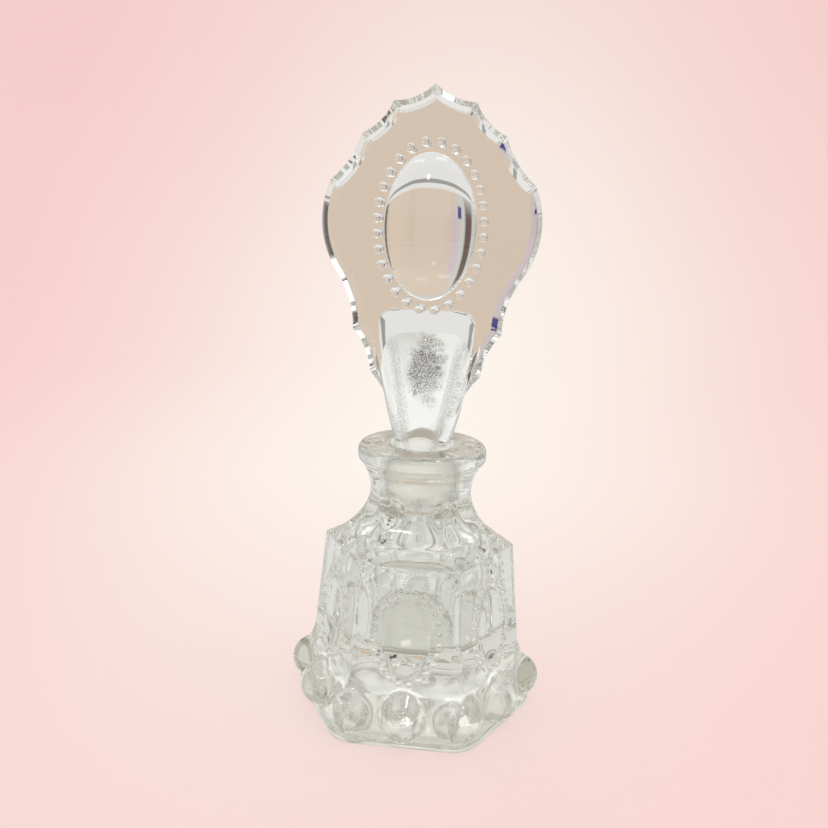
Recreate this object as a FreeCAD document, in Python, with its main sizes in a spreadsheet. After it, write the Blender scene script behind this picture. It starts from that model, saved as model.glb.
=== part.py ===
"""Pressed-glass perfume bottle with a tall ground-in glass stopper.

Frame: millimetres, +Z up, origin at the centre of the foot's underside.
The bottle's front panel and the stopper's front face look along -Y.
Two pieces: the bottle, and the stopper that lifts out of its neck.
"""
import FreeCAD, Part
import math
import os
import Sketcher

V = FreeCAD.Vector
DOC = FreeCAD.newDocument("perfume_bottle")

# ---------------------------------------------------------------- driving dimensions
SIZES = {
    # foot and flange
    "foot_corner_radius": 35.4,
    "foot_corner_round": 6.0,
    "foot_height": 2.6,
    "flange_corner_radius": 32.3,
    "flange_height": 13.0,
    # round bosses on the flange, one on each corner and one on each side
    "boss_radius": 6.1,
    "boss_centre_height": 8.3,
    "corner_boss_reach": 30.3,
    "side_boss_reach": 28.4,
    # six-sided body
    "body_base_height": 11.0,
    "panel_base_reach": 26.6,
    "panel_top_reach": 23.4,
    "shoulder_height": 47.8,
    "blank_radius": 33.0,
    # neck: turned radius, and how near the six flutes come to the axis
    "neck_height": 61.0,
    "neck_radius": 14.3,
    "flute_reach": 13.3,
    "flute_mid_height": 54.5,
    "flute_mid_reach": 15.3,
    "flute_top_height": 69.5,
    "cove_mid_height": 54.8,
    "cove_mid_radius": 17.1,
    "cove_foot_height": 49.4,
    "cove_foot_radius": 29.0,
    # lip
    "lip_radius": 17.9,
    "lip_underside_height": 70.6,
    "lip_height": 75.8,
    "lip_edge_round": 1.9,
    # oval cabochon and bead ring on each panel
    "panel_oval_height": 28.8,
    "panel_oval_half_width": 6.6,
    "panel_oval_half_tall": 10.5,
    "panel_oval_dome": 1.3,
    "panel_ring_half_width": 8.7,
    "panel_ring_half_tall": 12.3,
    "panel_bead_radius": 0.9,
    # hollow for the perfume, and the ground mouth
    "hollow_floor_height": 21.5,
    "hollow_radius": 19.6,
    "hollow_floor_round": 3.5,
    "hollow_wall_top": 40.5,
    "throat_height": 55.5,
    "throat_radius": 6.75,
    "mouth_radius": 8.0,
    "mouth_chamfer": 0.6,
    # stopper plate
    "plate_thickness": 8.4,
    "plate_bevel_width": 3.0,
    "plate_bevel_depth": 2.4,
    "apex_height": 170.0,
    "scallop_sag": 1.05,
    "lobe_sag": 3.4,
    # stopper oval and bead ring
    "stopper_oval_height": 134.4,
    "stopper_oval_half_width": 11.9,
    "stopper_oval_half_tall": 18.8,
    "stopper_oval_dome": 4.1,
    "stopper_ring_half_width": 14.0,
    "stopper_ring_half_tall": 21.5,
    "stopper_bead_radius": 1.25,
    # stem that thickens the plate down to the round plug
    "stem_top_height": 112.0,
    "stem_top_half_width": 13.2,
    "stem_foot_height": 77.4,
    "stem_edge_round": 1.2,
    # ground plug
    "ground_clearance": 0.05,
    "plug_tip_height": 56.5,
    "plug_tip_chamfer": 0.8,
}

# Stopper outline: half width and height of each point where two scallops meet.
CUSPS = [
    (10.6, 165.7), (18.7, 157.6), (26.7, 145.8),
    (24.1, 121.2), (20.1, 107.0), (15.0, 95.3), (9.3, 84.0),
]
LOBE_AFTER_CUSP = 2
PANELS = 6
PANEL_BEADS = 24
STOPPER_BEADS = 28
MITRED = 2


def fill_sheet():
    """Write every driving dimension into the spreadsheet and give it its alias."""
    sheet = DOC.addObject("Spreadsheet::Sheet", "sizes")
    rows = dict(SIZES)
    for i, (half_width, height) in enumerate(CUSPS):
        rows[f"cusp_half_width_{'abcdefg'[i]}"] = half_width
        rows[f"cusp_height_{'abcdefg'[i]}"] = height
    for row, (alias, value) in enumerate(rows.items(), start=1):
        sheet.set(f"A{row}", alias)
        sheet.set(f"B{row}", str(value))
        sheet.setAlias(f"B{row}", alias)
    DOC.recompute()
    return sheet


SHEET = fill_sheet()


def size(alias):
    """Read one dimension from the sheet."""
    return float(getattr(SHEET, alias))


def origin_part(body, role):
    """Return the body's own origin plane or axis."""
    return next(f for f in body.Origin.OriginFeatures if f.Role == role)


def new_body(name):
    return DOC.addObject("PartDesign::Body", name)


def new_sketch(body, name, plane, lift=None):
    """Add a sketch on one of the body's origin planes, lifted along Z by a sheet cell."""
    sketch = body.newObject("Sketcher::SketchObject", name)
    sketch.AttachmentSupport = [(origin_part(body, plane), "")]
    sketch.MapMode = "FlatFace"
    if lift is not None:
        sketch.setExpression("AttachmentOffset.Base.z", lift)
    return sketch


def pin_point(sketch, geo, pos, x_expression, y_expression):
    """Hold a sketch point at two sheet distances from the sketch's origin."""
    for kind, expression in (("DistanceX", x_expression), ("DistanceY", y_expression)):
        if expression == "0":
            axis = -2 if kind == "DistanceX" else -1
            sketch.addConstraint(Sketcher.Constraint("PointOnObject", geo, pos, axis))
            continue
        start = sketch.getPoint(geo, pos)
        value = start.x if kind == "DistanceX" else start.y
        at = sketch.addConstraint(Sketcher.Constraint(kind, -1, 1, geo, pos, value))
        sketch.setExpression(f"Constraints[{at}]", expression)


def profile(sketch, points, arcs):
    """Draw a closed outline through points pinned to the sheet.

    points: list of (x, x_expression, y, y_expression); arcs: {edge index: middle
    point in the same form} for edges that are arcs, the rest being straight.
    """
    count = len(points)
    for i, start in enumerate(points):
        end = points[(i + 1) % count]
        a, b = V(start[0], start[2], 0), V(end[0], end[2], 0)
        if i in arcs:
            middle = arcs[i]
            arc = Part.Arc(a, V(middle[0], middle[2], 0), b)
            sketch.addGeometry(arc, False)
        else:
            sketch.addGeometry(Part.LineSegment(a, b), False)
    ends = [edge_ends(sketch, i, points[i]) for i in range(count)]
    for i in range(count):
        following = (i + 1) % count
        sketch.addConstraint(
            Sketcher.Constraint("Coincident", i, ends[i][1], following, ends[following][0]))
    for i, point in enumerate(points):
        pin_point(sketch, i, ends[i][0], point[1], point[3])
    for i, middle in arcs.items():
        mark = sketch.addGeometry(Part.Point(V(middle[0], middle[2], 0)), True)
        sketch.addConstraint(Sketcher.Constraint("PointOnObject", mark, 1, i))
        pin_point(sketch, mark, 1, middle[1], middle[3])


def edge_ends(sketch, geo, start):
    """Tell which end of an edge is its start, because an arc may be stored reversed."""
    first = sketch.getPoint(geo, 1)
    if abs(first.x - start[0]) < 1e-6 and abs(first.y - start[2]) < 1e-6:
        return 1, 2
    return 2, 1


def at(x, y):
    """A sketch point from two expressions, with its present value beside each."""
    return (evaluate(x), x, evaluate(y), y)


def evaluate(expression):
    """Work out a sum of sheet cells written as a FreeCAD expression."""
    return float(SHEET.evalExpression(expression.replace("sizes.", "")))


def cell(alias):
    return f"sizes.{alias}"


def hexagon_pad(body, name, corner_radius, height):
    """Pad a regular hexagon with corners on the X axis up from the foot plane."""
    sketch = new_sketch(body, name + "_outline", "XY_Plane")
    radius = size(corner_radius)
    corners = [V(radius * math.cos(math.radians(a)), radius * math.sin(math.radians(a)), 0)
               for a in range(0, 360, 60)]
    ring = sketch.addGeometry(Part.Circle(V(0, 0, 0), V(0, 0, 1), radius), True)
    sketch.addConstraint(Sketcher.Constraint("Coincident", ring, 3, -1, 1))
    at_ring = sketch.addConstraint(Sketcher.Constraint("Radius", ring, radius))
    sketch.setExpression(f"Constraints[{at_ring}]", cell(corner_radius))
    sides = [sketch.addGeometry(Part.LineSegment(corners[i], corners[(i + 1) % 6]), False)
             for i in range(6)]
    for i, side in enumerate(sides):
        following = sides[(i + 1) % 6]
        sketch.addConstraint(Sketcher.Constraint("Coincident", side, 2, following, 1))
        sketch.addConstraint(Sketcher.Constraint("PointOnObject", side, 1, ring))
        if i:
            sketch.addConstraint(Sketcher.Constraint("Equal", sides[0], side))
    sketch.addConstraint(Sketcher.Constraint("PointOnObject", sides[0], 1, -1))
    pad = body.newObject("PartDesign::Pad", name)
    pad.Profile = sketch
    pad.setExpression("Length", cell(height))
    DOC.recompute()
    return pad


def upright_edges(feature):
    """Names of the straight edges that run along Z."""
    names = []
    for i, edge in enumerate(feature.Shape.Edges, start=1):
        run = edge.Vertexes[-1].Point - edge.Vertexes[0].Point
        if abs(run.z) > 1.0 and math.hypot(run.x, run.y) < 1e-6:
            names.append(f"Edge{i}")
    return names


def round_pattern(body, name, originals, count=PANELS):
    """Repeat features round the Z axis."""
    pattern = body.newObject("PartDesign::PolarPattern", name)
    pattern.Originals = originals
    pattern.Axis = (origin_part(body, "Z_Axis"), [""])
    pattern.Angle = 360
    pattern.Occurrences = count
    body.Tip = pattern
    DOC.recompute()
    return pattern


def turned(body, name, kind, points, arcs):
    """Revolve a profile drawn in the XZ plane round the Z axis."""
    sketch = new_sketch(body, name + "_profile", "XZ_Plane")
    profile(sketch, points, arcs)
    feature = body.newObject(kind, name)
    feature.Profile = sketch
    feature.ReferenceAxis = (origin_part(body, "Z_Axis"), [""])
    feature.Angle = 360
    DOC.recompute()
    return feature


# ---------------------------------------------------------------- bottle
def bottle_blank(body):
    """The turned mass that the panels and flutes are pressed into, with neck and lip."""
    lip_start = f"{cell('lip_radius')} - {cell('lip_edge_round')}"
    points = [
        at("0", cell("body_base_height")),
        at(cell("blank_radius"), cell("body_base_height")),
        at(cell("cove_foot_radius"), cell("cove_foot_height")),
        at(cell("neck_radius"), cell("neck_height")),
        at(cell("lip_radius"), cell("lip_underside_height")),
        at(cell("lip_radius"), f"{cell('lip_height')} - {cell('lip_edge_round')}"),
        at(lip_start, cell("lip_height")),
        at("0", cell("lip_height")),
    ]
    arcs = {
        2: at(cell("cove_mid_radius"), cell("cove_mid_height")),
        3: at(f"{cell('neck_radius')} + 0.2 * ({cell('lip_radius')} - {cell('neck_radius')})",
              f"0.42 * {cell('neck_height')} + 0.58 * {cell('lip_underside_height')}"),
        5: at(f"{cell('lip_radius')} - 0.293 * {cell('lip_edge_round')}",
              f"{cell('lip_height')} - 0.293 * {cell('lip_edge_round')}"),
    }
    return turned(body, "bottle_blank", "PartDesign::Revolution", points, arcs)


def panel_cut(body):
    """One flat panel with the flute above it, cut straight across the turned blank."""
    sketch = new_sketch(body, "panel_profile", "YZ_Plane")
    reach = f"{cell('blank_radius')} + 8"
    points = [
        at(cell("panel_base_reach"), cell("body_base_height")),
        at(reach, cell("body_base_height")),
        at(reach, cell("flute_top_height")),
        at(f"{cell('lip_radius')} + 1", cell("flute_top_height")),
        at(cell("flute_reach"), cell("neck_height")),
        at(cell("panel_top_reach"), cell("shoulder_height")),
    ]
    arcs = {
        3: at(f"{cell('flute_reach')} + 1.5",
              f"0.4 * {cell('neck_height')} + 0.6 * {cell('flute_top_height')}"),
        4: at(cell("flute_mid_reach"), cell("flute_mid_height")),
    }
    profile(sketch, points, arcs)
    pocket = body.newObject("PartDesign::Pocket", "panel_cut")
    pocket.Profile = sketch
    pocket.Type = "Length"
    pocket.Midplane = True
    pocket.setExpression("Length", f"4 * {cell('blank_radius')}")
    DOC.recompute()
    return pocket


def boss(body, name, reach, angle):
    """One round boss, centred beside the flange."""
    ball = body.newObject("PartDesign::AdditiveSphere", name)
    ball.setExpression("Radius", cell("boss_radius"))
    ball.setExpression("Placement.Base.x", f"{cell(reach)} * cos({angle})")
    ball.setExpression("Placement.Base.y", f"{cell(reach)} * sin({angle})")
    ball.setExpression("Placement.Base.z", cell("boss_centre_height"))
    DOC.recompute()
    return ball


def panel_reach(height):
    """Distance from the axis to a panel's face at a height."""
    base, top = size("body_base_height"), size("shoulder_height")
    share = (height - base) / (top - base)
    return size("panel_base_reach") + share * (size("panel_top_reach") - size("panel_base_reach"))


def panel_lean():
    """How far a panel leans inwards, in degrees."""
    rise = size("shoulder_height") - size("body_base_height")
    return math.degrees(math.atan((size("panel_base_reach") - size("panel_top_reach")) / rise))


def panel_oval(body):
    """The domed oval on the front panel."""
    oval = body.newObject("PartDesign::AdditiveEllipsoid", "panel_oval")
    oval.setExpression("Radius1", cell("panel_oval_half_tall"))
    oval.setExpression("Radius2", cell("panel_oval_half_width"))
    oval.setExpression("Radius3", cell("panel_oval_dome"))
    height = size("panel_oval_height")
    lean = FreeCAD.Rotation(V(1, 0, 0), -panel_lean())
    oval.Placement = FreeCAD.Placement(V(0, -panel_reach(height), height), lean)
    DOC.recompute()
    return oval


def hollow(body):
    """The perfume's hollow, the throat, and the ground taper of the mouth."""
    floor_round = cell("hollow_floor_round")
    mouth_low = f"{cell('lip_height')} - {cell('mouth_chamfer')}"
    points = [
        at("0", cell("hollow_floor_height")),
        at(f"{cell('hollow_radius')} - {floor_round}", cell("hollow_floor_height")),
        at(cell("hollow_radius"), f"{cell('hollow_floor_height')} + {floor_round}"),
        at(f"{cell('hollow_radius')} - 0.8", cell("hollow_wall_top")),
        at(f"{cell('throat_radius')} + 5.6", f"{cell('hollow_wall_top')} + 7.4"),
        at(cell("throat_radius"), cell("throat_height")),
        at(cell("mouth_radius"), mouth_low),
        at(f"{cell('mouth_radius')} + {cell('mouth_chamfer')}", cell("lip_height")),
        at("0", cell("lip_height")),
    ]
    arcs = {
        1: at(f"{cell('hollow_radius')} - 0.293 * {floor_round}",
              f"{cell('hollow_floor_height')} + 0.293 * {floor_round}"),
        3: at(f"{cell('hollow_radius')} - 3.0", f"{cell('hollow_wall_top')} + 4.4"),
        4: at(f"{cell('throat_radius')} + 1.5", f"{cell('throat_height')} - 4.0"),
    }
    return turned(body, "hollow", "PartDesign::Groove", points, arcs)


def bead_ring(count, half_width, half_tall, bead_radius, place):
    """Small balls at equal steps round an upright ellipse.

    place(across, up) gives the centre of a ball on the face that carries the ring.
    """
    steps = 720
    ellipse = [(half_width * math.sin(2 * math.pi * i / steps),
                half_tall * math.cos(2 * math.pi * i / steps)) for i in range(steps + 1)]
    run = [0.0]
    for start, end in zip(ellipse, ellipse[1:]):
        run.append(run[-1] + math.dist(start, end))
    balls = []
    for i in range(count):
        target = (i + 0.5) * run[-1] / count
        k = next(k for k, length in enumerate(run) if length >= target)
        balls.append(Part.makeSphere(bead_radius, place(*ellipse[k])))
    return balls


def panel_beads():
    """The bead ring of each panel, on all six panels."""
    lean = math.radians(panel_lean())
    height = size("panel_oval_height")
    front = bead_ring(
        PANEL_BEADS, size("panel_ring_half_width"), size("panel_ring_half_tall"),
        size("panel_bead_radius"),
        lambda across, up: V(across, -panel_reach(height + up * math.cos(lean)),
                             height + up * math.cos(lean)))
    balls = []
    for k in range(PANELS):
        for ball in front:
            turned_ball = ball.copy()
            turned_ball.rotate(V(0, 0, 0), V(0, 0, 1), 360 / PANELS * k)
            balls.append(turned_ball)
    return balls


def raw_balls(name, balls):
    """Hold a set of bead balls in the document as one compound."""
    feature = DOC.addObject("Part::Feature", name)
    feature.Shape = Part.makeCompound(balls)
    return feature


def make_bottle():
    body = new_body("bottle_glass")
    foot = hexagon_pad(body, "foot", "foot_corner_radius", "foot_height")
    corner_round = body.newObject("PartDesign::Fillet", "foot_corners")
    corner_round.Base = (foot, upright_edges(foot))
    corner_round.setExpression("Radius", cell("foot_corner_round"))
    DOC.recompute()
    bottle_blank(body)
    cut = panel_cut(body)
    round_pattern(body, "panels", [cut])
    hexagon_pad(body, "flange", "flange_corner_radius", "flange_height")
    corner_boss = boss(body, "corner_boss", "corner_boss_reach", 0)
    round_pattern(body, "corner_bosses", [corner_boss])
    side_boss = boss(body, "side_boss", "side_boss_reach", 30)
    round_pattern(body, "side_bosses", [side_boss])
    oval = panel_oval(body)
    round_pattern(body, "panel_ovals", [oval])
    hollow(body)
    beads = raw_balls("panel_beads", panel_beads())
    bottle = DOC.addObject("Part::MultiFuse", "bottle")
    bottle.Shapes = [body, beads]
    bottle.Label = "bottle"
    return bottle


# ---------------------------------------------------------------- stopper
def outline_points():
    """Points of the stopper's outline, clockwise from the apex, right side then left."""
    names = "abcdefg"
    right = [at(cell(f"cusp_half_width_{n}"), cell(f"cusp_height_{n}")) for n in names]
    left = [at(f"-{cell(f'cusp_half_width_{n}')}", cell(f"cusp_height_{n}"))
            for n in reversed(names)]
    foot_half_width = f"{cell('mouth_radius')} - 0.1"
    foot_height = f"{cell('stem_foot_height')} + 0.2"
    return ([at("0", cell("apex_height"))] + right
            + [at(foot_half_width, foot_height), at(f"-({foot_half_width})", foot_height)]
            + left)


def sagging(start, end, sag):
    """Middle of an arc that leaves the chord by sag, positive outwards from the axis."""
    mid_x, mid_y = (start[0] + end[0]) / 2, (start[2] + end[2]) / 2
    run_x, run_y = end[0] - start[0], end[2] - start[2]
    length = math.hypot(run_x, run_y)
    return mid_x - sag * run_y / length, mid_y + sag * run_x / length


def plate_outline(body):
    """The scalloped outline: hollow scallops between cusps and one full lobe each side."""
    sketch = new_sketch(body, "plate_outline", "XZ_Plane")
    points = outline_points()
    count = len(points)
    cusp_count = len(CUSPS)
    foot_edge = cusp_count + 1
    lobes = (LOBE_AFTER_CUSP + 1, 2 * foot_edge - LOBE_AFTER_CUSP - 1)
    for i, start in enumerate(points):
        end = points[(i + 1) % count]
        a, b = V(start[0], start[2], 0), V(end[0], end[2], 0)
        if i == foot_edge:
            sketch.addGeometry(Part.LineSegment(a, b), False)
            continue
        sag = size("lobe_sag") if i in lobes else -size("scallop_sag")
        x, y = sagging(start, end, sag)
        sketch.addGeometry(Part.Arc(a, V(x, y, 0), b), False)
    ends = [edge_ends(sketch, i, points[i]) for i in range(count)]
    for i in range(count):
        following = (i + 1) % count
        sketch.addConstraint(
            Sketcher.Constraint("Coincident", i, ends[i][1], following, ends[following][0]))
    for i, point in enumerate(points):
        pin_point(sketch, i, ends[i][0], point[1], point[3])
        if i == foot_edge:
            continue
        is_lobe = i in lobes
        end = points[(i + 1) % count]
        chord = math.dist((point[0], point[2]), (end[0], end[2]))
        sag = size("lobe_sag") if is_lobe else size("scallop_sag")
        radius = sketch.addConstraint(
            Sketcher.Constraint("Radius", i, chord ** 2 / (8 * sag) + sag / 2))
        sag_cell = cell("lobe_sag" if is_lobe else "scallop_sag")
        sketch.setExpression(
            f"Constraints[{radius}]", f"{chord ** 2 / 8} / {sag_cell} + {sag_cell} / 2")
    return sketch


def plate(body):
    """The middle layer of the plate, as thick as its square rim."""
    sketch = plate_outline(body)
    pad = body.newObject("PartDesign::Pad", "plate")
    pad.Profile = sketch
    pad.Midplane = True
    pad.setExpression("Length", f"{cell('plate_thickness')} - 2 * {cell('plate_bevel_depth')}")
    DOC.recompute()
    return sketch


def bevelled_layer(sketch, name, side):
    """The outer layer of the plate on one face, whose rim slopes in to the flat face."""
    outline = sketch.Shape.Wires[0]
    inner = outline.makeOffset2D(-size("plate_bevel_width"), MITRED, False, False, False)
    half = size("plate_thickness") / 2
    outline.translate(V(0, side * (half - size("plate_bevel_depth")), 0))
    inner.translate(V(0, side * half, 0))
    layer = DOC.addObject("Part::Feature", name)
    layer.Shape = Part.makeLoft([outline, inner], True, True)
    return layer


def rounded_rectangle(body, name, lift, half_width, half_depth, corner):
    """A rounded rectangle on a level plane, sizes given as expressions."""
    sketch = new_sketch(body, name, "XY_Plane", lift)
    w, d, r = evaluate(half_width), evaluate(half_depth), evaluate(corner)
    centres = [(w - r, d - r, 0), (-w + r, d - r, 90), (-w + r, -d + r, 180), (w - r, -d + r, 270)]
    corners = [sketch.addGeometry(Part.ArcOfCircle(
        Part.Circle(V(x, y, 0), V(0, 0, 1), r), math.radians(a), math.radians(a + 90)), False)
        for x, y, a in centres]
    sides = []
    for i in range(4):
        a, b = sketch.getPoint(corners[i], 2), sketch.getPoint(corners[(i + 1) % 4], 1)
        sides.append(sketch.addGeometry(Part.LineSegment(a, b), False))
    for i in range(4):
        sketch.addConstraint(Sketcher.Constraint("Tangent", corners[i], 2, sides[i], 1))
        sketch.addConstraint(Sketcher.Constraint("Tangent", sides[i], 2, corners[(i + 1) % 4], 1))
        if i:
            sketch.addConstraint(Sketcher.Constraint("Equal", corners[0], corners[i]))
    sketch.addConstraint(Sketcher.Constraint("Horizontal", sides[0]))
    sketch.addConstraint(Sketcher.Constraint("Vertical", sides[1]))
    radius = sketch.addConstraint(Sketcher.Constraint("Radius", corners[0], r))
    sketch.setExpression(f"Constraints[{radius}]", corner)
    for geo, kind, sign, half in ((3, "DistanceX", 1, half_width), (1, "DistanceX", -1, half_width),
                                  (0, "DistanceY", 1, half_depth), (2, "DistanceY", -1, half_depth)):
        value = evaluate(half)
        first, second = ((-1, 1), (sides[geo], 1)) if sign > 0 else ((sides[geo], 1), (-1, 1))
        at_half = sketch.addConstraint(Sketcher.Constraint(kind, *first, *second, value))
        sketch.setExpression(f"Constraints[{at_half}]", half)
    return sketch


def stem(body):
    """The part that thickens from the plate's faces to the round plug."""
    plug_half = f"{cell('mouth_radius')} - {cell('ground_clearance')}"
    top = rounded_rectangle(
        body, "stem_top", cell("stem_top_height"), cell("stem_top_half_width"),
        f"{cell('plate_thickness')} / 2", cell("stem_edge_round"))
    foot = rounded_rectangle(
        body, "stem_foot", cell("stem_foot_height"), plug_half, plug_half,
        f"{plug_half} - 0.05")
    loft = body.newObject("PartDesign::AdditiveLoft", "stem")
    loft.Profile = foot
    loft.Sections = [top]
    loft.Ruled = True
    DOC.recompute()
    return loft


def plug(body):
    """The ground plug, tapered like the mouth and clear of it by the ground clearance."""
    gap = cell("ground_clearance")
    taper = (f"({cell('mouth_radius')} - {cell('throat_radius')}) / "
             f"({cell('lip_height')} - {cell('mouth_chamfer')} - {cell('throat_height')})")
    mouth_low = f"{cell('lip_height')} - {cell('mouth_chamfer')}"
    tip_radius = (f"{cell('throat_radius')} - {gap} + {taper} * "
                  f"({cell('plug_tip_height')} - {cell('throat_height')})")
    chamfer = cell("plug_tip_chamfer")
    points = [
        at("0", cell("plug_tip_height")),
        at(f"{tip_radius} - {chamfer}", cell("plug_tip_height")),
        at(f"{tip_radius} + {taper} * {chamfer}", f"{cell('plug_tip_height')} + {chamfer}"),
        at(f"{cell('mouth_radius')} - {gap}", mouth_low),
        at(f"{cell('mouth_radius')} - {gap}", cell("stem_foot_height")),
        at("0", cell("stem_foot_height")),
    ]
    return turned(body, "plug", "PartDesign::Revolution", points, {})


def stopper_oval(body):
    """The large oval that domes out of both faces of the plate."""
    half = size("plate_thickness") / 2
    depth = half + size("stopper_oval_dome")
    spread = 1 / math.sqrt(1 - (half / depth) ** 2)
    oval = body.newObject("PartDesign::AdditiveEllipsoid", "stopper_oval")
    oval.setExpression("Radius1", f"{spread} * {cell('stopper_oval_half_tall')}")
    oval.setExpression("Radius2", f"{spread} * {cell('stopper_oval_half_width')}")
    oval.setExpression("Radius3", f"{cell('plate_thickness')} / 2 + {cell('stopper_oval_dome')}")
    oval.setExpression("Placement.Base.z", cell("stopper_oval_height"))
    DOC.recompute()
    return oval


def stopper_beads():
    """The bead ring round the oval, on the front and the back face."""
    balls = []
    for side in (-1, 1):
        face = side * size("plate_thickness") / 2
        balls += bead_ring(
            STOPPER_BEADS, size("stopper_ring_half_width"), size("stopper_ring_half_tall"),
            size("stopper_bead_radius"),
            lambda across, up, face=face: V(across, face, size("stopper_oval_height") + up))
    return balls


def make_stopper():
    body = new_body("stopper_glass")
    outline = plate(body)
    layers = [bevelled_layer(outline, "front_layer", -1), bevelled_layer(outline, "back_layer", 1)]
    stem(body)
    plug(body)
    stopper_oval(body)
    beads = raw_balls("stopper_beads", stopper_beads())
    stopper = DOC.addObject("Part::MultiFuse", "stopper")
    stopper.Shapes = [body, *layers, beads]
    stopper.Refine = True
    stopper.Label = "stopper"
    return stopper


# ---------------------------------------------------------------- build, check, write
def check_document():
    """Stop if any object failed or any sub-part is empty or broken."""
    for thing in DOC.Objects:
        for word in ("Invalid", "Error"):
            if word in thing.State:
                raise RuntimeError(f"{thing.Name} is {word}")


def write_part(sub_part):
    """Check one sub-part and write its file."""
    shape = sub_part.Shape
    if shape.isNull() or not shape.isValid():
        raise RuntimeError(f"{sub_part.Label} has no valid shape")
    if len(shape.Solids) != 1:
        raise RuntimeError(f"{sub_part.Label} is {len(shape.Solids)} solids")
    box = shape.BoundBox
    print(f"{sub_part.Label}: {shape.Volume / 1000:.1f} cm3, "
          f"x {box.XMin:.2f}..{box.XMax:.2f} y {box.YMin:.2f}..{box.YMax:.2f} "
          f"z {box.ZMin:.2f}..{box.ZMax:.2f}")
    shape.exportStep(f"parts/{sub_part.Label}.step")


os.makedirs("parts", exist_ok=True)
SUB_PARTS = [make_bottle(), make_stopper()]
DOC.recompute()
check_document()
for part_object in SUB_PARTS:
    write_part(part_object)
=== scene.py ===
"""Looks of a pressed-glass perfume bottle with a tall ground-in glass stopper.

Each piece is one closed mesh, built in millimetres on the CAD frame and then scaled to
metres: the bottle from a pressed outer skin and a turned hollow, and the stopper from a
bevelled plate joined to a stem and a ground plug.
"""

from dataclasses import dataclass, field
from enum import Enum
import logging
import math

import bmesh
import bpy
from mathutils import Matrix, Vector
from mathutils.geometry import delaunay_2d_cdt
import numpy as np


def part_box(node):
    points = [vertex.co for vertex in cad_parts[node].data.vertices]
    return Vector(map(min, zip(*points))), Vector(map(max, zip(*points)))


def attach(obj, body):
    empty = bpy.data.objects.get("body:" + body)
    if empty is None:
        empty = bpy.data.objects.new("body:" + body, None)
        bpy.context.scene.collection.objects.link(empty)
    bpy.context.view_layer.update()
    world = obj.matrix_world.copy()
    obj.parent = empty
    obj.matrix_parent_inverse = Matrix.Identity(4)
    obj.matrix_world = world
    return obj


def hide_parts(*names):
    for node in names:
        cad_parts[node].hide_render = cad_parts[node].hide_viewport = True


MM = 0.001
SIDES = 6
SECTOR = 60.0
GUIDE_STEP = 0.05

Point = tuple[float, float]
Place = tuple[float, float, float]
Colour = tuple[float, float, float]

log = logging.getLogger("perfume_bottle")
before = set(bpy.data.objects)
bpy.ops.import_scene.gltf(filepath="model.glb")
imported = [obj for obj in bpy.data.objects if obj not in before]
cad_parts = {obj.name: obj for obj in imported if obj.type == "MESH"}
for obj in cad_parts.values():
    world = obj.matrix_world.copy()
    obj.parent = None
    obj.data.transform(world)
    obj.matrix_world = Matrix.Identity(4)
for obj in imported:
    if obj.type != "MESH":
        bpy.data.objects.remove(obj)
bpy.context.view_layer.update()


class Skin(Enum):
    """Which finish a stretch of glass has; the value is its material index on the mesh."""

    POLISHED = 0
    GROUND = 1
    # Rough worn glass, tinted darker as painted shade.
    WORN_AND_SHADED = 2
    HOLLOW = 3


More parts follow.
